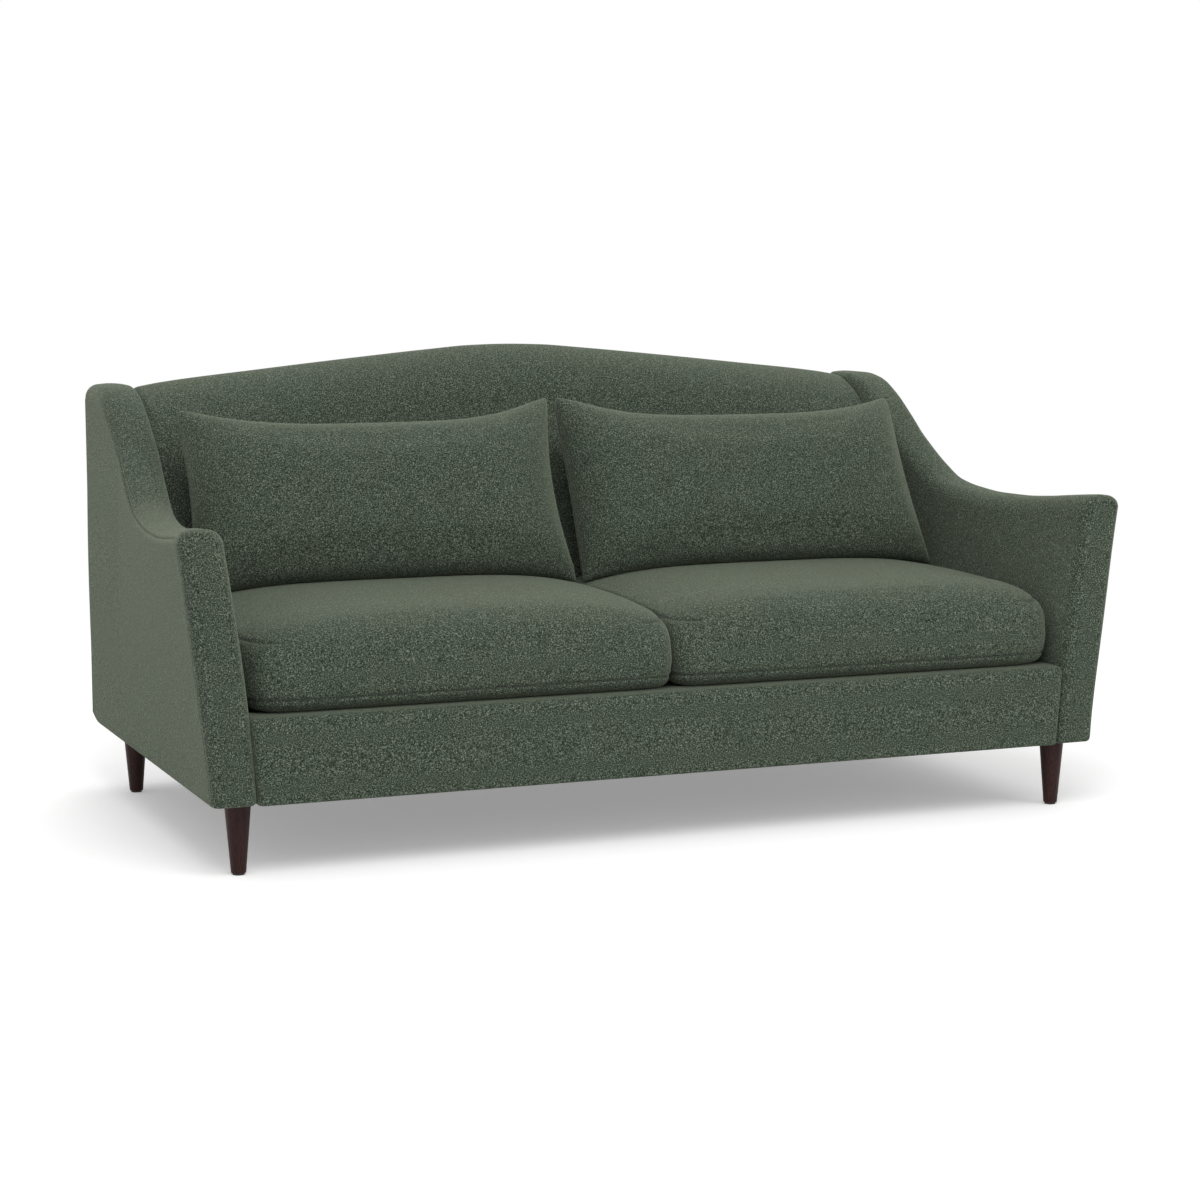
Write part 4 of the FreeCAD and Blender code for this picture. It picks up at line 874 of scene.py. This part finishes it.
# %% [markdown]
# ## Seat cushions
# The seat cushion is foam in a boxed cover: a crowned top that rolls over the front, a lower seam
# just above its front edge, and side seams that show at its front corners. Its inner edge is nearly
# square where it meets its neighbour, and its outer front corner is rounded. The outer end follows
# the lean of the arm.

# %% The form of a seat cushion
(SEAT_START, SEAT_FRONT, SEAT_LOW), (SEAT_END, SEAT_REAR, _) = (
    map(float, corner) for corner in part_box("right_seat_cushion_cover"))
SEAT_CROWN_TOP, SEAT_CROWN, SEAT_FALL = 0.496, 0.034, 0.0084
FOOT, HEEL, TAIL = 0.032, 0.014, 0.038
NOSE_RUN, NOSE_BACK, FACE_IN, FACE_DROP, FACE_STEER = 0.15, 0.088, 0.004, 0.080, 0.050
INNER_IN, OUTER_IN, LOW_UP = 0.028, 0.048, 0.012
inner_draw = smooth_line([(0.0, 1.0), (0.012, 0.43), (0.035, 0.10), (0.12, 0.0), (1.0, 0.0)])
outer_draw = smooth_line([(0.0, 0.0), (0.90, 0.0), (0.955, 0.12), (0.987, 0.48), (1.0, 1.0)])


def seat_crown(x):
    """Height of the crown line across the right cushion."""
    share = (x - SEAT_START) / (SEAT_END - SEAT_START)
    return SEAT_CROWN_TOP - SEAT_CROWN * (2 * share - 1) ** 4


def seat_surface(x, y):
    """Height of the top of the right cushion behind its rounded front."""
    y0, y1 = SEAT_FRONT + NOSE_RUN, SEAT_REAR - TAIL
    off = (2 * y - y0 - y1) / (y1 - y0)
    return seat_crown(x) - SEAT_FALL * off * off


def seat_outline(x, share, inset):
    """The cushion from front to rear at one place across, as Y and Z."""
    low = SEAT_LOW + LOW_UP * (inner_draw(share) + outer_draw(share)) + inset
    high = seat_crown(x) - inset
    y0 = SEAT_FRONT + INNER_IN * inner_draw(share) + OUTER_IN * outer_draw(share) + inset
    y1, fallen = SEAT_REAR - inset, high - SEAT_FALL
    face = y0 + FACE_IN
    face_foot, face_top = (face, low + FOOT), (face, high - FACE_DROP)
    nose_top, tail_top = (y0 + NOSE_RUN, fallen), (y1 - TAIL, fallen)
    slope = 4 * SEAT_FALL / (tail_top[0] - nose_top[0])
    steer = (face_top, (face, face_top[1] + FACE_STEER),
             (nose_top[0] - NOSE_BACK, fallen - NOSE_BACK * slope), nose_top)
    line = run((y1 - HEEL, low), (face + FOOT, low), 30)
    line += quarter((face + FOOT, low + FOOT), FOOT, -90, -180, 8)
    line += arc_through(face_foot, (y0, (face_foot[1] + face_top[1]) / 2), face_top, 6)
    line += bezier(steer, 14)
    line += arc_through(nose_top, ((nose_top[0] + tail_top[0]) / 2, high), tail_top, 26)
    line += quarter((y1 - TAIL, fallen - TAIL), TAIL, 90, 0, 6)
    line += run((y1, fallen - TAIL), (y1, low + HEEL), 6)
    return line + quarter((y1 - HEEL, low + HEEL), HEEL, 0, -90, 3)


print("seat crown", SEAT_CROWN_TOP, "high, outline of", len(seat_outline(0.4, 0.5, 0)), "points")

# %% The seat cushion in its space
LEAN_START, LEAN_SHARE, ARM_GAP = 0.60, 0.5, 0.003


def beside_arm(co):
    """Move the outer end of a right-hand cushion out to the leaning arm."""
    share = np.clip((co[:, 0] - LEAN_START) / (SEAT_END - LEAN_START), 0, 1.1)
    co[:, 0] += (LEAN_SHARE * arm_lean(co[:, 1], co[:, 2]) - ARM_GAP) * share ** 2
    return co


def seat_skin(name, inset):
    """The right seat cushion, drawn in by the inset."""
    shares = np.concatenate([np.linspace(0, 0.05, 9), np.linspace(0.05, 0.9, 40)[1:],
                             np.linspace(0.9, 1, 14)[1:]])
    start, end = SEAT_START + inset, SEAT_END - inset
    points = []
    for share in shares:
        x = start + share * (end - start)
        line = seat_outline(SEAT_START + share * (SEAT_END - SEAT_START), share, inset)
        points += [(x, y, z) for y, z in line]
    rings = beside_arm(np.array(points)).reshape(len(shares), -1, 3)
    return ringed_piece(name, rings, [range(len(line))])


def seat_space(co):
    """Keep points inside the space between platform, arm, neighbour and back."""
    arm = arm_inside - 0.0012 + arm_lean(co[:, 1], co[:, 2])
    co[:, 0] = np.minimum(np.maximum(co[:, 0], SEAT_START + 0.0003), arm)
    co[:, 1] = np.clip(co[:, 1], SEAT_FRONT - 0.003, SEAT_REAR)
    surface = seat_surface(np.minimum(co[:, 0], SEAT_END), co[:, 1])
    top = np.where(co[:, 1] > SEAT_FRONT + NOSE_RUN, surface, np.inf)
    co[:, 2] = np.minimum(np.maximum(co[:, 2], SEAT_LOW), top)
    return co


SEAM_CAP, FACE_CAP, CAP_REACH = 0.0015, 0.0060, 0.08


def seat_caps(co):
    """Least way for points at the sewn edges, most on the open faces."""
    ends = np.minimum(co[:, 0] - SEAT_START, arm_inside + arm_lean(co[:, 1], co[:, 2]) - co[:, 0])
    inside = np.clip(np.minimum(ends, co[:, 2] - SEAT_LOW) / CAP_REACH, 0, 1)
    return SEAM_CAP + inside * (FACE_CAP - SEAM_CAP)


COVER_WALL, SEAT_SLACK = 0.012, 0.001
seat_cushion = seat_skin("right_seat_cushion_fabric", SEAT_SLACK)
swelled(seat_cushion, seat_caps, seat_space)

# %% Its seams and its core
LOWER_SEAM, UPPER_SEAM, UPPER_SEAM_RISE = 0.332, 0.440, 0.012
LOWER_DEEP, UPPER_DEEP = 0.0026, 0.0024


def upper_height(y):
    """Height of the upper seam, which climbs a little behind the front."""
    return UPPER_SEAM + np.clip((y - SEAT_FRONT - 0.05) / 0.25, 0, 1) * UPPER_SEAM_RISE


def lower_seam(co):
    """Distance from the lower seam, round the front and both ends."""
    at_side = ((co[:, 1] < SEAT_FRONT + 0.10) | (co[:, 0] < SEAT_START + 0.02)
               | (co[:, 0] > SEAT_END - 0.03))
    return np.where(at_side, np.abs(co[:, 2] - LOWER_SEAM), 1.0)


def upper_seam(co):
    """Distance from the side seams, which fade where the top rolls over the front."""
    arm_end = SEAT_END + LEAN_SHARE * arm_lean(co[:, 1], co[:, 2])
    ends = np.minimum(co[:, 0] - SEAT_START, arm_end - co[:, 0])
    fade = np.maximum(0, ends - 0.055) * 0.12
    return np.where(ends < 0.13, np.abs(co[:, 2] - upper_height(co[:, 1])) + fade, 1.0)


creased(seat_cushion, lower_seam, LOWER_DEEP)
creased(seat_cushion, upper_seam, UPPER_DEEP)
left_seat_cushion = mirrored(seat_cushion, "left_seat_cushion_fabric")
seat_core = seat_skin("right_seat_core_foam", COVER_WALL)
left_seat_core = mirrored(seat_core, "left_seat_core_foam")
dressed_loose("seat_cushion", [
    ("cover", (seat_cushion, left_seat_cushion), "green_weave", 0.9, cover_cloth),
    ("core", (seat_core, left_seat_core), "foam", 1.0, finishes["foam"])])

# %% [markdown]
# ## Back cushions
# The back cushions are fibre-filled and knife-edged: two panels joined by one seam all round. They
# stand on the seat cushions and lean on the raked back, so the rear is pressed flat, the belly
# settles on the seat, and the long upper edge is drawn in between its blunt corners. Such a form
# is a grid between the two long seams, thickened by a fullness that grows steeply from each edge.

# %% The form of a back cushion
PILLOW_INNER, PILLOW_FOOT_OUTER, PILLOW_TOP_OUTER = 0.003, 0.855, 0.829
PILLOW_FOOT_Y = back_foot - 0.132
PILLOW_MIDDLE, PILLOW_LIMIT, OFF_SEAT = 0.431, 0.861, 0.0012
PILLOW_TOP_HIGH, PILLOW_LEAN, PILLOW_EDGE = 0.846, 0.168, 0.009
PILLOW_FRONT_FULL, PILLOW_REAR_FULL = 0.098, 0.165
PLUMP_ACROSS, PLUMP_UP = (5.0, 0.50), (3.6, 0.52)
PRESSED_ACROSS, PRESSED_UP = (3.0, 0.75), (3.6, 0.60)
SETTLE_HIGH, SETTLE_POWER, SETTLE_WAY = 0.55, 1.2, (0.0, -1.0, -0.12)
seat_under = seat_surface(PILLOW_MIDDLE, PILLOW_FOOT_Y)
pillow_foot = np.array([0.0, PILLOW_FOOT_Y, seat_under + OFF_SEAT])
pillow_up = np.array([0.0, PILLOW_LEAN, PILLOW_TOP_HIGH - pillow_foot[2]])
pillow_high = float(np.linalg.norm(pillow_up))
pillow_up /= pillow_high
pillow_back = np.array([0.0, pillow_up[2], -pillow_up[1]])
BLUNT_BY, BLUNT_REACH = 0.007, 0.016
TOP_DRAW, OUT_DRAW, IN_DRAW = 0.049, 0.020, 0.007
TOP_SQUARE, IN_CORNER, IN_CORNER_WIDE, OUT_CORNER = 3.4, 0.012, 0.13, 0.005


def fullness(share, power, root):
    """Zero at both ends and one in the middle, steep at the ends."""
    return np.maximum(0, 1 - np.abs(2 * share - 1) ** power) ** root


def bowed(v):
    """How far in a side edge is drawn at this share of its height, one at most."""
    return np.sin(math.pi * v) ** 0.8


def pillow_wide(v):
    """Width of the cushion at this share of its height."""
    return PILLOW_FOOT_OUTER + (PILLOW_TOP_OUTER - PILLOW_FOOT_OUTER) * v - PILLOW_INNER


def pillow_spot(u, v):
    """A place on the seam surface of the right back cushion, its edges drawn in between corners."""
    wide = pillow_wide(v)
    side_draw = np.where(u > 0.5, OUT_DRAW, IN_DRAW) * bowed(v) * (2 * u - 1) ** 3
    x = PILLOW_INNER + u * wide - side_draw
    top_draw = TOP_DRAW * (1 - np.abs(2 * u - 1) ** TOP_SQUARE)
    top_draw = top_draw - IN_CORNER * np.exp(-(u / IN_CORNER_WIDE) ** 2) + OUT_CORNER * u
    sink = (seat_surface(x, PILLOW_FOOT_Y) - seat_under) * (1 - v) ** 2
    rise = v * (pillow_high - top_draw) + sink
    spot = pillow_foot + pillow_up * rise[..., None]
    spot[..., 0] = x
    for side_gap, way in ((u * wide, 1), ((1 - u) * wide, -1)):
        blunted = BLUNT_BY * np.exp(-(side_gap + (1 - v) * pillow_high) / BLUNT_REACH)
        spot[..., 0] += way * blunted
        spot -= pillow_up * blunted[..., None]
    return spot


def closing(count, even=0.35):
    """Shares from zero to one, closing up to both ends."""
    share = np.linspace(0, 1, count)
    return 0.5 - 0.5 * np.cos(math.pi * share) * (1 - even) - even * (0.5 - share)


print("back cushion", round(pillow_high, 3), "high along its lean")

# %% The back cushion in its space
def pillow_skin(name, inset):
    """Rings across the front and back along the rear, drawn in by the inset."""
    front_full, rear_full = PILLOW_FRONT_FULL - inset, PILLOW_REAR_FULL - inset
    columns, rows = 90, 46
    u, v = np.meshgrid(closing(columns), closing(rows))
    side_in, high_in = inset / (PILLOW_FOOT_OUTER - PILLOW_INNER), inset / pillow_high
    spot = pillow_spot(side_in + u * (1 - 2 * side_in), high_in + v * (1 - 2 * high_in))
    swell = fullness(u, *PLUMP_ACROSS) * fullness(v, *PLUMP_UP)
    settle = np.clip(1 - v / SETTLE_HIGH, 0, 1)[..., None] ** SETTLE_POWER
    forward = -pillow_back * (1 - settle) + np.array(SETTLE_WAY) * settle
    front_face = spot + forward * (PILLOW_EDGE / 2 + front_full * swell)[..., None]
    pressed = fullness(u, *PRESSED_ACROSS) * fullness(v, *PRESSED_UP)
    back_face = spot + pillow_back * (PILLOW_EDGE / 2 + rear_full * pressed)[..., None]
    rings = np.concatenate([front_face, back_face[:, ::-1]], axis=1)
    pillow_space(rings.reshape(-1, 3), inset)
    return ringed_piece(name, rings, folded(2 * columns))


def pillow_space(co, inset=0.0):
    """Keep points off the raked back, the seat, the arm and the other cushion."""
    behind = (back_foot + RAKE * (co[:, 2] - BEND) - co[:, 1]) / RAKE_SLANT
    push = np.minimum(behind - 0.0008 - inset, 0)
    co[:, 1] += push / RAKE_SLANT
    co[:, 2] -= push * RAKE / RAKE_SLANT
    co[:, 0] = np.clip(co[:, 0], PILLOW_INNER + inset, PILLOW_LIMIT - inset)
    seat = seat_surface(np.clip(co[:, 0], SEAT_START, SEAT_END),
                        np.maximum(co[:, 1], SEAT_FRONT + NOSE_RUN))
    co[:, 2] = np.maximum(co[:, 2], seat + 0.0009 + inset)
    return co


def pillow_rise(co):
    """Share of the cushion's height."""
    return ((co - pillow_foot) @ pillow_up) / pillow_high


def pillow_off(co):
    """How far off the middle of the cushion: one at its edges."""
    v = pillow_rise(co)
    u = (co[:, 0] - PILLOW_INNER) / pillow_wide(v)
    return np.maximum(np.abs(2 * u - 1), np.abs(2 * v - 1))


PILLOW_SEAM_CAP, PILLOW_FACE_CAP = 0.0025, 0.0110


def pillow_caps(co):
    """Least way for points at the seam, most in the middle of the panels."""
    inside = 1 - np.clip(pillow_off(co), 0, 1) ** 6
    return PILLOW_SEAM_CAP + inside * (PILLOW_FACE_CAP - PILLOW_SEAM_CAP)


pillow = pillow_skin("right_back_cushion_fabric", 0.0)
swelled(pillow, pillow_caps, pillow_space)

# %% Its seam and its filling
def pillow_seam(co):
    """Distance from the seam plane, at the very edge of the cushion."""
    return np.where(pillow_off(co) > 0.86, np.abs((co - pillow_foot) @ pillow_back), 1.0)


creased(pillow, pillow_seam, 0.0016)


MORE_IN, FOOT_IN, TOP_IN, SLANT_OUT, CORNER_UP = 0.020, 0.010, 0.003, 0.016, 0.006


def drawn_from_middle(piece):
    """The left cushion is drawn in more along its inner edge and slants out at its outer end."""
    co = per_point(piece)
    v = np.clip(pillow_rise(co), 0, 1)
    near = np.clip(1 + co[:, 0] / 0.45, 0, 1) ** 1.5
    far = np.clip(-co[:, 0] / PILLOW_TOP_OUTER, 0, 1) ** 3
    co[:, 0] -= near * (MORE_IN * bowed(v) + FOOT_IN * (1 - v) + TOP_IN * v)
    co[:, 0] -= SLANT_OUT * far * v ** 0.8
    co[:, 2] += CORNER_UP * far * v ** 4
    set_places(piece, co)
    return piece


left_pillow = drawn_from_middle(mirrored(pillow, "left_back_cushion_fabric"))
filling = pillow_skin("right_back_filling_fibre", COVER_WALL)
left_filling = drawn_from_middle(mirrored(filling, "left_back_filling_fibre"))
dressed_loose("back_cushion", [
    ("cover", (pillow, left_pillow), "green_weave", 0.7, cover_cloth),
    ("filling", (filling, left_filling), "fibre", 0.6, finishes["fibre"])])

# %% [markdown]
# ## Stitches, zip teeth and staples
# A boxed cover is lock-stitched along its seams, a zip has a tooth every few millimetres, and the
# lining is stapled to the rails all round. Each is one small shape at an even pitch on a path, so
# one Geometry Nodes tree makes all three: it walks the path and sets the shape along it and square
# to the surface. A seam's path comes from rays cast at the swelled cushion, because only then do
# the stitches lie on the cloth wherever the simulation left it.

# %% The tree that repeats a shape along a path
def repeater():
    """Takes edges with an 'out' direction at each point, gives a mesh of shapes along them."""
    tree = bpy.data.node_groups.new("repeat_along_path", "GeometryNodeTree")
    for name, way, kind in (
            ("Path", "INPUT", "Geometry"), ("Shape", "INPUT", "Object"),
            ("Pitch", "INPUT", "Float"), ("Uneven", "INPUT", "Float"), ("Seed", "INPUT", "Int"),
            ("Finish", "INPUT", "Material"), ("Shapes", "OUTPUT", "Geometry")):
        tree.interface.new_socket(name, in_out=way, socket_type="NodeSocket" + kind)

    def add(kind, inputs=None, **settings):
        return add_node(tree, kind, inputs, **settings)

    given = add("NodeGroupInput").outputs
    line = add("GeometryNodeMeshToCurve", {"Mesh": given["Path"]}).outputs[0]
    spots = add("GeometryNodeResampleCurve", {"Curve": line, "Length": given["Pitch"]},
                mode="LENGTH").outputs[0]
    out = add("GeometryNodeInputNamedAttribute", {"Name": "out"},
              data_type="FLOAT_VECTOR").outputs[0]
    upright = add("FunctionNodeAlignRotationToVector", {"Vector": out}, axis="Z").outputs[0]
    along = add("GeometryNodeInputTangent").outputs[0]
    turned = add("FunctionNodeAlignRotationToVector", {"Rotation": upright, "Vector": along},
                 axis="X", pivot_axis="Z").outputs[0]
    least = add("ShaderNodeMath", {0: 1.0, 1: given["Uneven"]}, operation="SUBTRACT").outputs[0]
    size = add("FunctionNodeRandomValue", {2: least, "Seed": given["Seed"]},
               data_type="FLOAT").outputs[1]
    shape = add("GeometryNodeObjectInfo", {"Object": given["Shape"]},
                transform_space="ORIGINAL").outputs["Geometry"]
    placed = add("GeometryNodeInstanceOnPoints", {
        "Points": spots, "Instance": shape, "Rotation": turned, "Scale": size}).outputs[0]
    real = add("GeometryNodeRealizeInstances", {"Geometry": placed}).outputs[0]
    done = add("GeometryNodeSetMaterial", {"Geometry": real, "Material": given["Finish"]})
    add("NodeGroupOutput", {"Shapes": done.outputs[0]})
    return tree


REPEATER = repeater()
print(REPEATER.name, len(REPEATER.nodes), "nodes")

# %% A bar, and rows of bars
def bar(name, length, wide, thick):
    """A small rounded bar along X, its ends dipping into what it lies on."""
    turns = np.linspace(0, 2 * math.pi, 6, endpoint=False)
    rings = [[((share - 0.5) * length, full * wide / 2 * math.cos(a),
               full * thick / 2 * math.sin(a) - thick * (2 * share - 1) ** 4) for a in turns]
             for share, full in ((0.0, 0.35), (0.16, 1.0), (0.5, 1.0), (0.84, 1.0), (1.0, 0.35))]
    return ringed_piece(name, rings, [range(len(turns))])


def repeated(name, paths, shape, pitch, finish, closed=False, uneven=0.1):
    """Bars at a pitch along paths of (place, outward direction) pairs, as one plain mesh."""
    spots, outs, edges = [], [], []
    for path in paths:
        first = len(spots)
        spots += [tuple(at) for at, _ in path]
        outs += [tuple(out) for _, out in path]
        edges += [(k, k + 1) for k in range(first, len(spots) - 1)]
        if closed:
            edges.append((len(spots) - 1, first))
    mesh = bpy.data.meshes.new(name)
    mesh.from_pydata(spots, edges, [])
    out = mesh.attributes.new("out", "FLOAT_VECTOR", "POINT")
    out.data.foreach_set("vector", np.array(outs, dtype=np.float32).ravel())
    piece = linked(name, mesh)
    maker = piece.modifiers.new("repeat", "NODES")
    maker.node_group = REPEATER
    settings = {"Shape": shape, "Pitch": pitch, "Uneven": uneven, "Seed": 7, "Finish": finish}
    for item in REPEATER.interface.items_tree:
        if item.name in settings:
            maker[item.identifier] = settings[item.name]
    baked(piece)
    bpy.data.objects.remove(shape)
    print(name, len(piece.data.polygons), "faces")
    return piece


print("bars ready")

# %% Stitches along the seams of the seat cushions
STITCH_LIFT, RAY_OFF = 0.0001, 0.3
OUTER_UPPER, INNER_UPPER = 0.055, 0.035
FRONT_CURVES = (((SEAT_END - 0.07, SEAT_FRONT + 0.09), np.linspace(0, -90, 24)),
                ((SEAT_START + 0.03, SEAT_FRONT + 0.06), np.linspace(-90, -180, 16)))


def seam_path(tree, rays):
    """Where rays from around the cushion meet it."""
    hits = [tree.ray_cast(start, ahead)[:2] for start, ahead in rays]
    return [(hit + out * STITCH_LIFT, out) for hit, out in hits if hit is not None]


def rays_round_front(z_at, rear_end):
    """Rays at the cushion from its outer side, round its front, to its inner side."""
    (outer, _), (inner, _) = FRONT_CURVES
    rays = [((SEAT_END + RAY_OFF, y, z_at(y)), (-1, 0, 0))
            for y in np.linspace(rear_end, outer[1], 26)]
    for (x0, y0), turns in FRONT_CURVES:
        for a in np.radians(turns):
            ahead = (-math.cos(a), -math.sin(a), 0)
            rays.append(((x0 - RAY_OFF * ahead[0], y0 - RAY_OFF * ahead[1], z_at(y0)), ahead))
        if (x0, y0) == outer:
            rays += [((x, SEAT_FRONT - RAY_OFF, z_at(SEAT_FRONT)), (0, 1, 0))
                     for x in np.linspace(outer[0], inner[0], 90)[1:-1]]
    back_along = np.linspace(inner[1], rear_end, 20)[1:]
    return rays + [((SEAT_START - RAY_OFF, y, z_at(y)), (1, 0, 0)) for y in back_along]


on_cushion = BVHTree.FromPolygons([v.co.copy() for v in seat_cushion.data.vertices],
                                  [tuple(f.vertices) for f in seat_cushion.data.polygons])
lower_path = seam_path(on_cushion, rays_round_front(lambda y: LOWER_SEAM, rear_end=-0.25))
upper_round = seam_path(on_cushion, rays_round_front(upper_height, rear_end=-0.10))
upper_paths = [[spot for spot in upper_round if spot[0].x > SEAT_END - OUTER_UPPER],
               [spot for spot in upper_round if spot[0].x < SEAT_START + INNER_UPPER]]
thread = moulded("thread_green", (0.030, 0.036, 0.030), 0.7)
stitches = repeated("right_seat_cushion_stitches", [lower_path] + upper_paths,
                    bar("stitch_bar", 0.0042, 0.0011, 0.0010), 0.0050, thread)
left_stitches = mirrored(stitches, "left_seat_cushion_stitches")
for hand, piece in (("right", stitches), ("left", left_stitches)):
    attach(piece, f"{hand}_seat_cushion")
print("lower seam", len(lower_path), "points")

# %% Teeth along the zips
for hand in ("right", "left"):
    low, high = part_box(f"{hand}_seat_zip")
    middle = (low[2] + high[2]) / 2
    path = [((x, high[1] + 0.0001, middle), (0, 1, 0)) for x in (low[0] + 0.004, high[0] - 0.004)]
    teeth = repeated(f"{hand}_zip_teeth", [path], bar("tooth_bar", 0.0019, 0.0042, 0.0009), 0.0032,
                     finishes["zip_nylon"], uneven=0.0)
    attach(teeth, f"{hand}_seat_cushion")

# %% Staples round the lining
STAPLE_IN = 0.012
low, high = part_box("dust_cover")
x0, y0, x1, y1 = low[0] + STAPLE_IN, low[1] + STAPLE_IN, high[0] - STAPLE_IN, high[1] - STAPLE_IN
ring = [((x, y, low[2]), (0, 0, -1)) for x, y in ((x0, y0), (x1, y0), (x1, y1), (x0, y1))]
staples = repeated("lining_staples", [ring], bar("staple_bar", 0.010, 0.0013, 0.0008), 0.038,
                   finishes["steel"], closed=True, uneven=0.05)
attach(staples, "sofa_frame")

# %% [markdown]
# ## Studio
# A white floor that fades into a white backdrop, a pale even sky and three broad lamps: one high
# over the front left for shape, one over the right, and a weak one behind. The floor glows a little
# to the camera only, so that it reads white while the sofa's shadow stays on it.

# %% Floor and light
FLOOR_GLOW, SKY_LEVEL = 0.285, 0.66


def seen_rays(tree):
    """One for rays that the camera sees straight, mirrored or through glass, and else zero."""
    path = add_node(tree, "ShaderNodeLightPath").outputs
    seen = path["Is Camera Ray"]
    for other in ("Is Glossy Ray", "Is Transmission Ray"):
        seen = add_node(tree, "ShaderNodeMath", {0: seen, 1: path[other]},
                        operation="MAXIMUM").outputs[0]
    return seen


def white_floor():
    """Matt white near the sofa, and plain white to the camera farther off, so no horizon shows."""
    n = Nodes("studio_floor")
    seen = seen_rays(n.tree)
    where = n.add("ShaderNodeTexCoord").outputs["Object"]
    gap = n.add("ShaderNodeVectorMath", {0: where}, operation="LENGTH").outputs["Value"]
    far = n.add("ShaderNodeMapRange", {"Value": gap, "From Min": 1.5, "From Max": 3.4},
                interpolation_type="SMOOTHSTEP").outputs["Result"]
    matt = n.add("ShaderNodeBsdfDiffuse", {"Color": (0.86, 0.86, 0.86, 1)})
    glow = n.add("ShaderNodeEmission", {
        "Color": (1, 1, 1, 1), "Strength": n.math("MULTIPLY", seen, FLOOR_GLOW)})
    white = n.add("ShaderNodeEmission", {"Color": (1, 1, 1, 1), "Strength": 1.0})
    near = n.add("ShaderNodeAddShader", {0: matt.outputs[0], 1: glow.outputs[0]})
    both = n.add("ShaderNodeMixShader", {
        "Fac": n.math("MULTIPLY", seen, far), 1: near.outputs[0], 2: white.outputs[0]})
    set_inputs(n.tree, n.tree.nodes["Material Output"], {"Surface": both.outputs[0]})
    return n.material


floor = new_piece("floor", [(-20, -20, 0), (20, -20, 0), (20, 20, 0), (-20, 20, 0)], [(0, 1, 2, 3)])
floor.data.materials.append(white_floor())
print(floor.name, "laid")

# %% Sky and lamps
world = bpy.data.worlds.new("studio")
bpy.context.scene.world = world
world.use_nodes = True
sky = world.node_tree
level = add_node(sky, "ShaderNodeMapRange", {
    "Value": seen_rays(sky), "To Min": SKY_LEVEL, "To Max": 1.0}).outputs["Result"]
set_inputs(sky, sky.nodes["Background"], {"Color": (1, 1, 1, 1), "Strength": level})


def lamp(name, place, aim, size, watts):
    light = bpy.data.lights.new(name, "AREA")
    light.shape = "DISK"
    light.size = size
    light.energy = watts
    stand = linked(name, light)
    stand.location = place
    stand.rotation_euler = (Vector(aim) - Vector(place)).to_track_quat("-Z", "Y").to_euler()


lamp("key", (-1.2, -3.4, 4.4), (0, 0, 0.4), 3.2, 120)
lamp("fill", (3.0, -3.4, 2.6), (0, 0, 0.5), 3.0, 40)
lamp("rim", (0.0, 3.0, 4.0), (0, 0, 0.6), 2.6, 55)
scene = bpy.context.scene
scene.view_settings.view_transform = "Standard"
print("sky and", len(bpy.data.lights), "lamps")

# %% Camera
# Solved from the feet, the corners of the body and the arm tips, for the square frame.
FOCAL_PIXELS, FRAME_PIXELS, TILT_DOWN, TURNED_RIGHT = 2712, 1200, 7.1603, 22.2759
view = bpy.data.cameras.new("camera")
view.sensor_width = 36
view.lens = 36 * FOCAL_PIXELS / FRAME_PIXELS
view.clip_end = 100
camera = linked("camera", view)
camera.location = (-2.161, -5.386, 1.154)
camera.rotation_euler = (math.radians(90 - TILT_DOWN), 0, math.radians(-TURNED_RIGHT))
scene.camera = camera
print("lens", round(view.lens, 1), "mm")
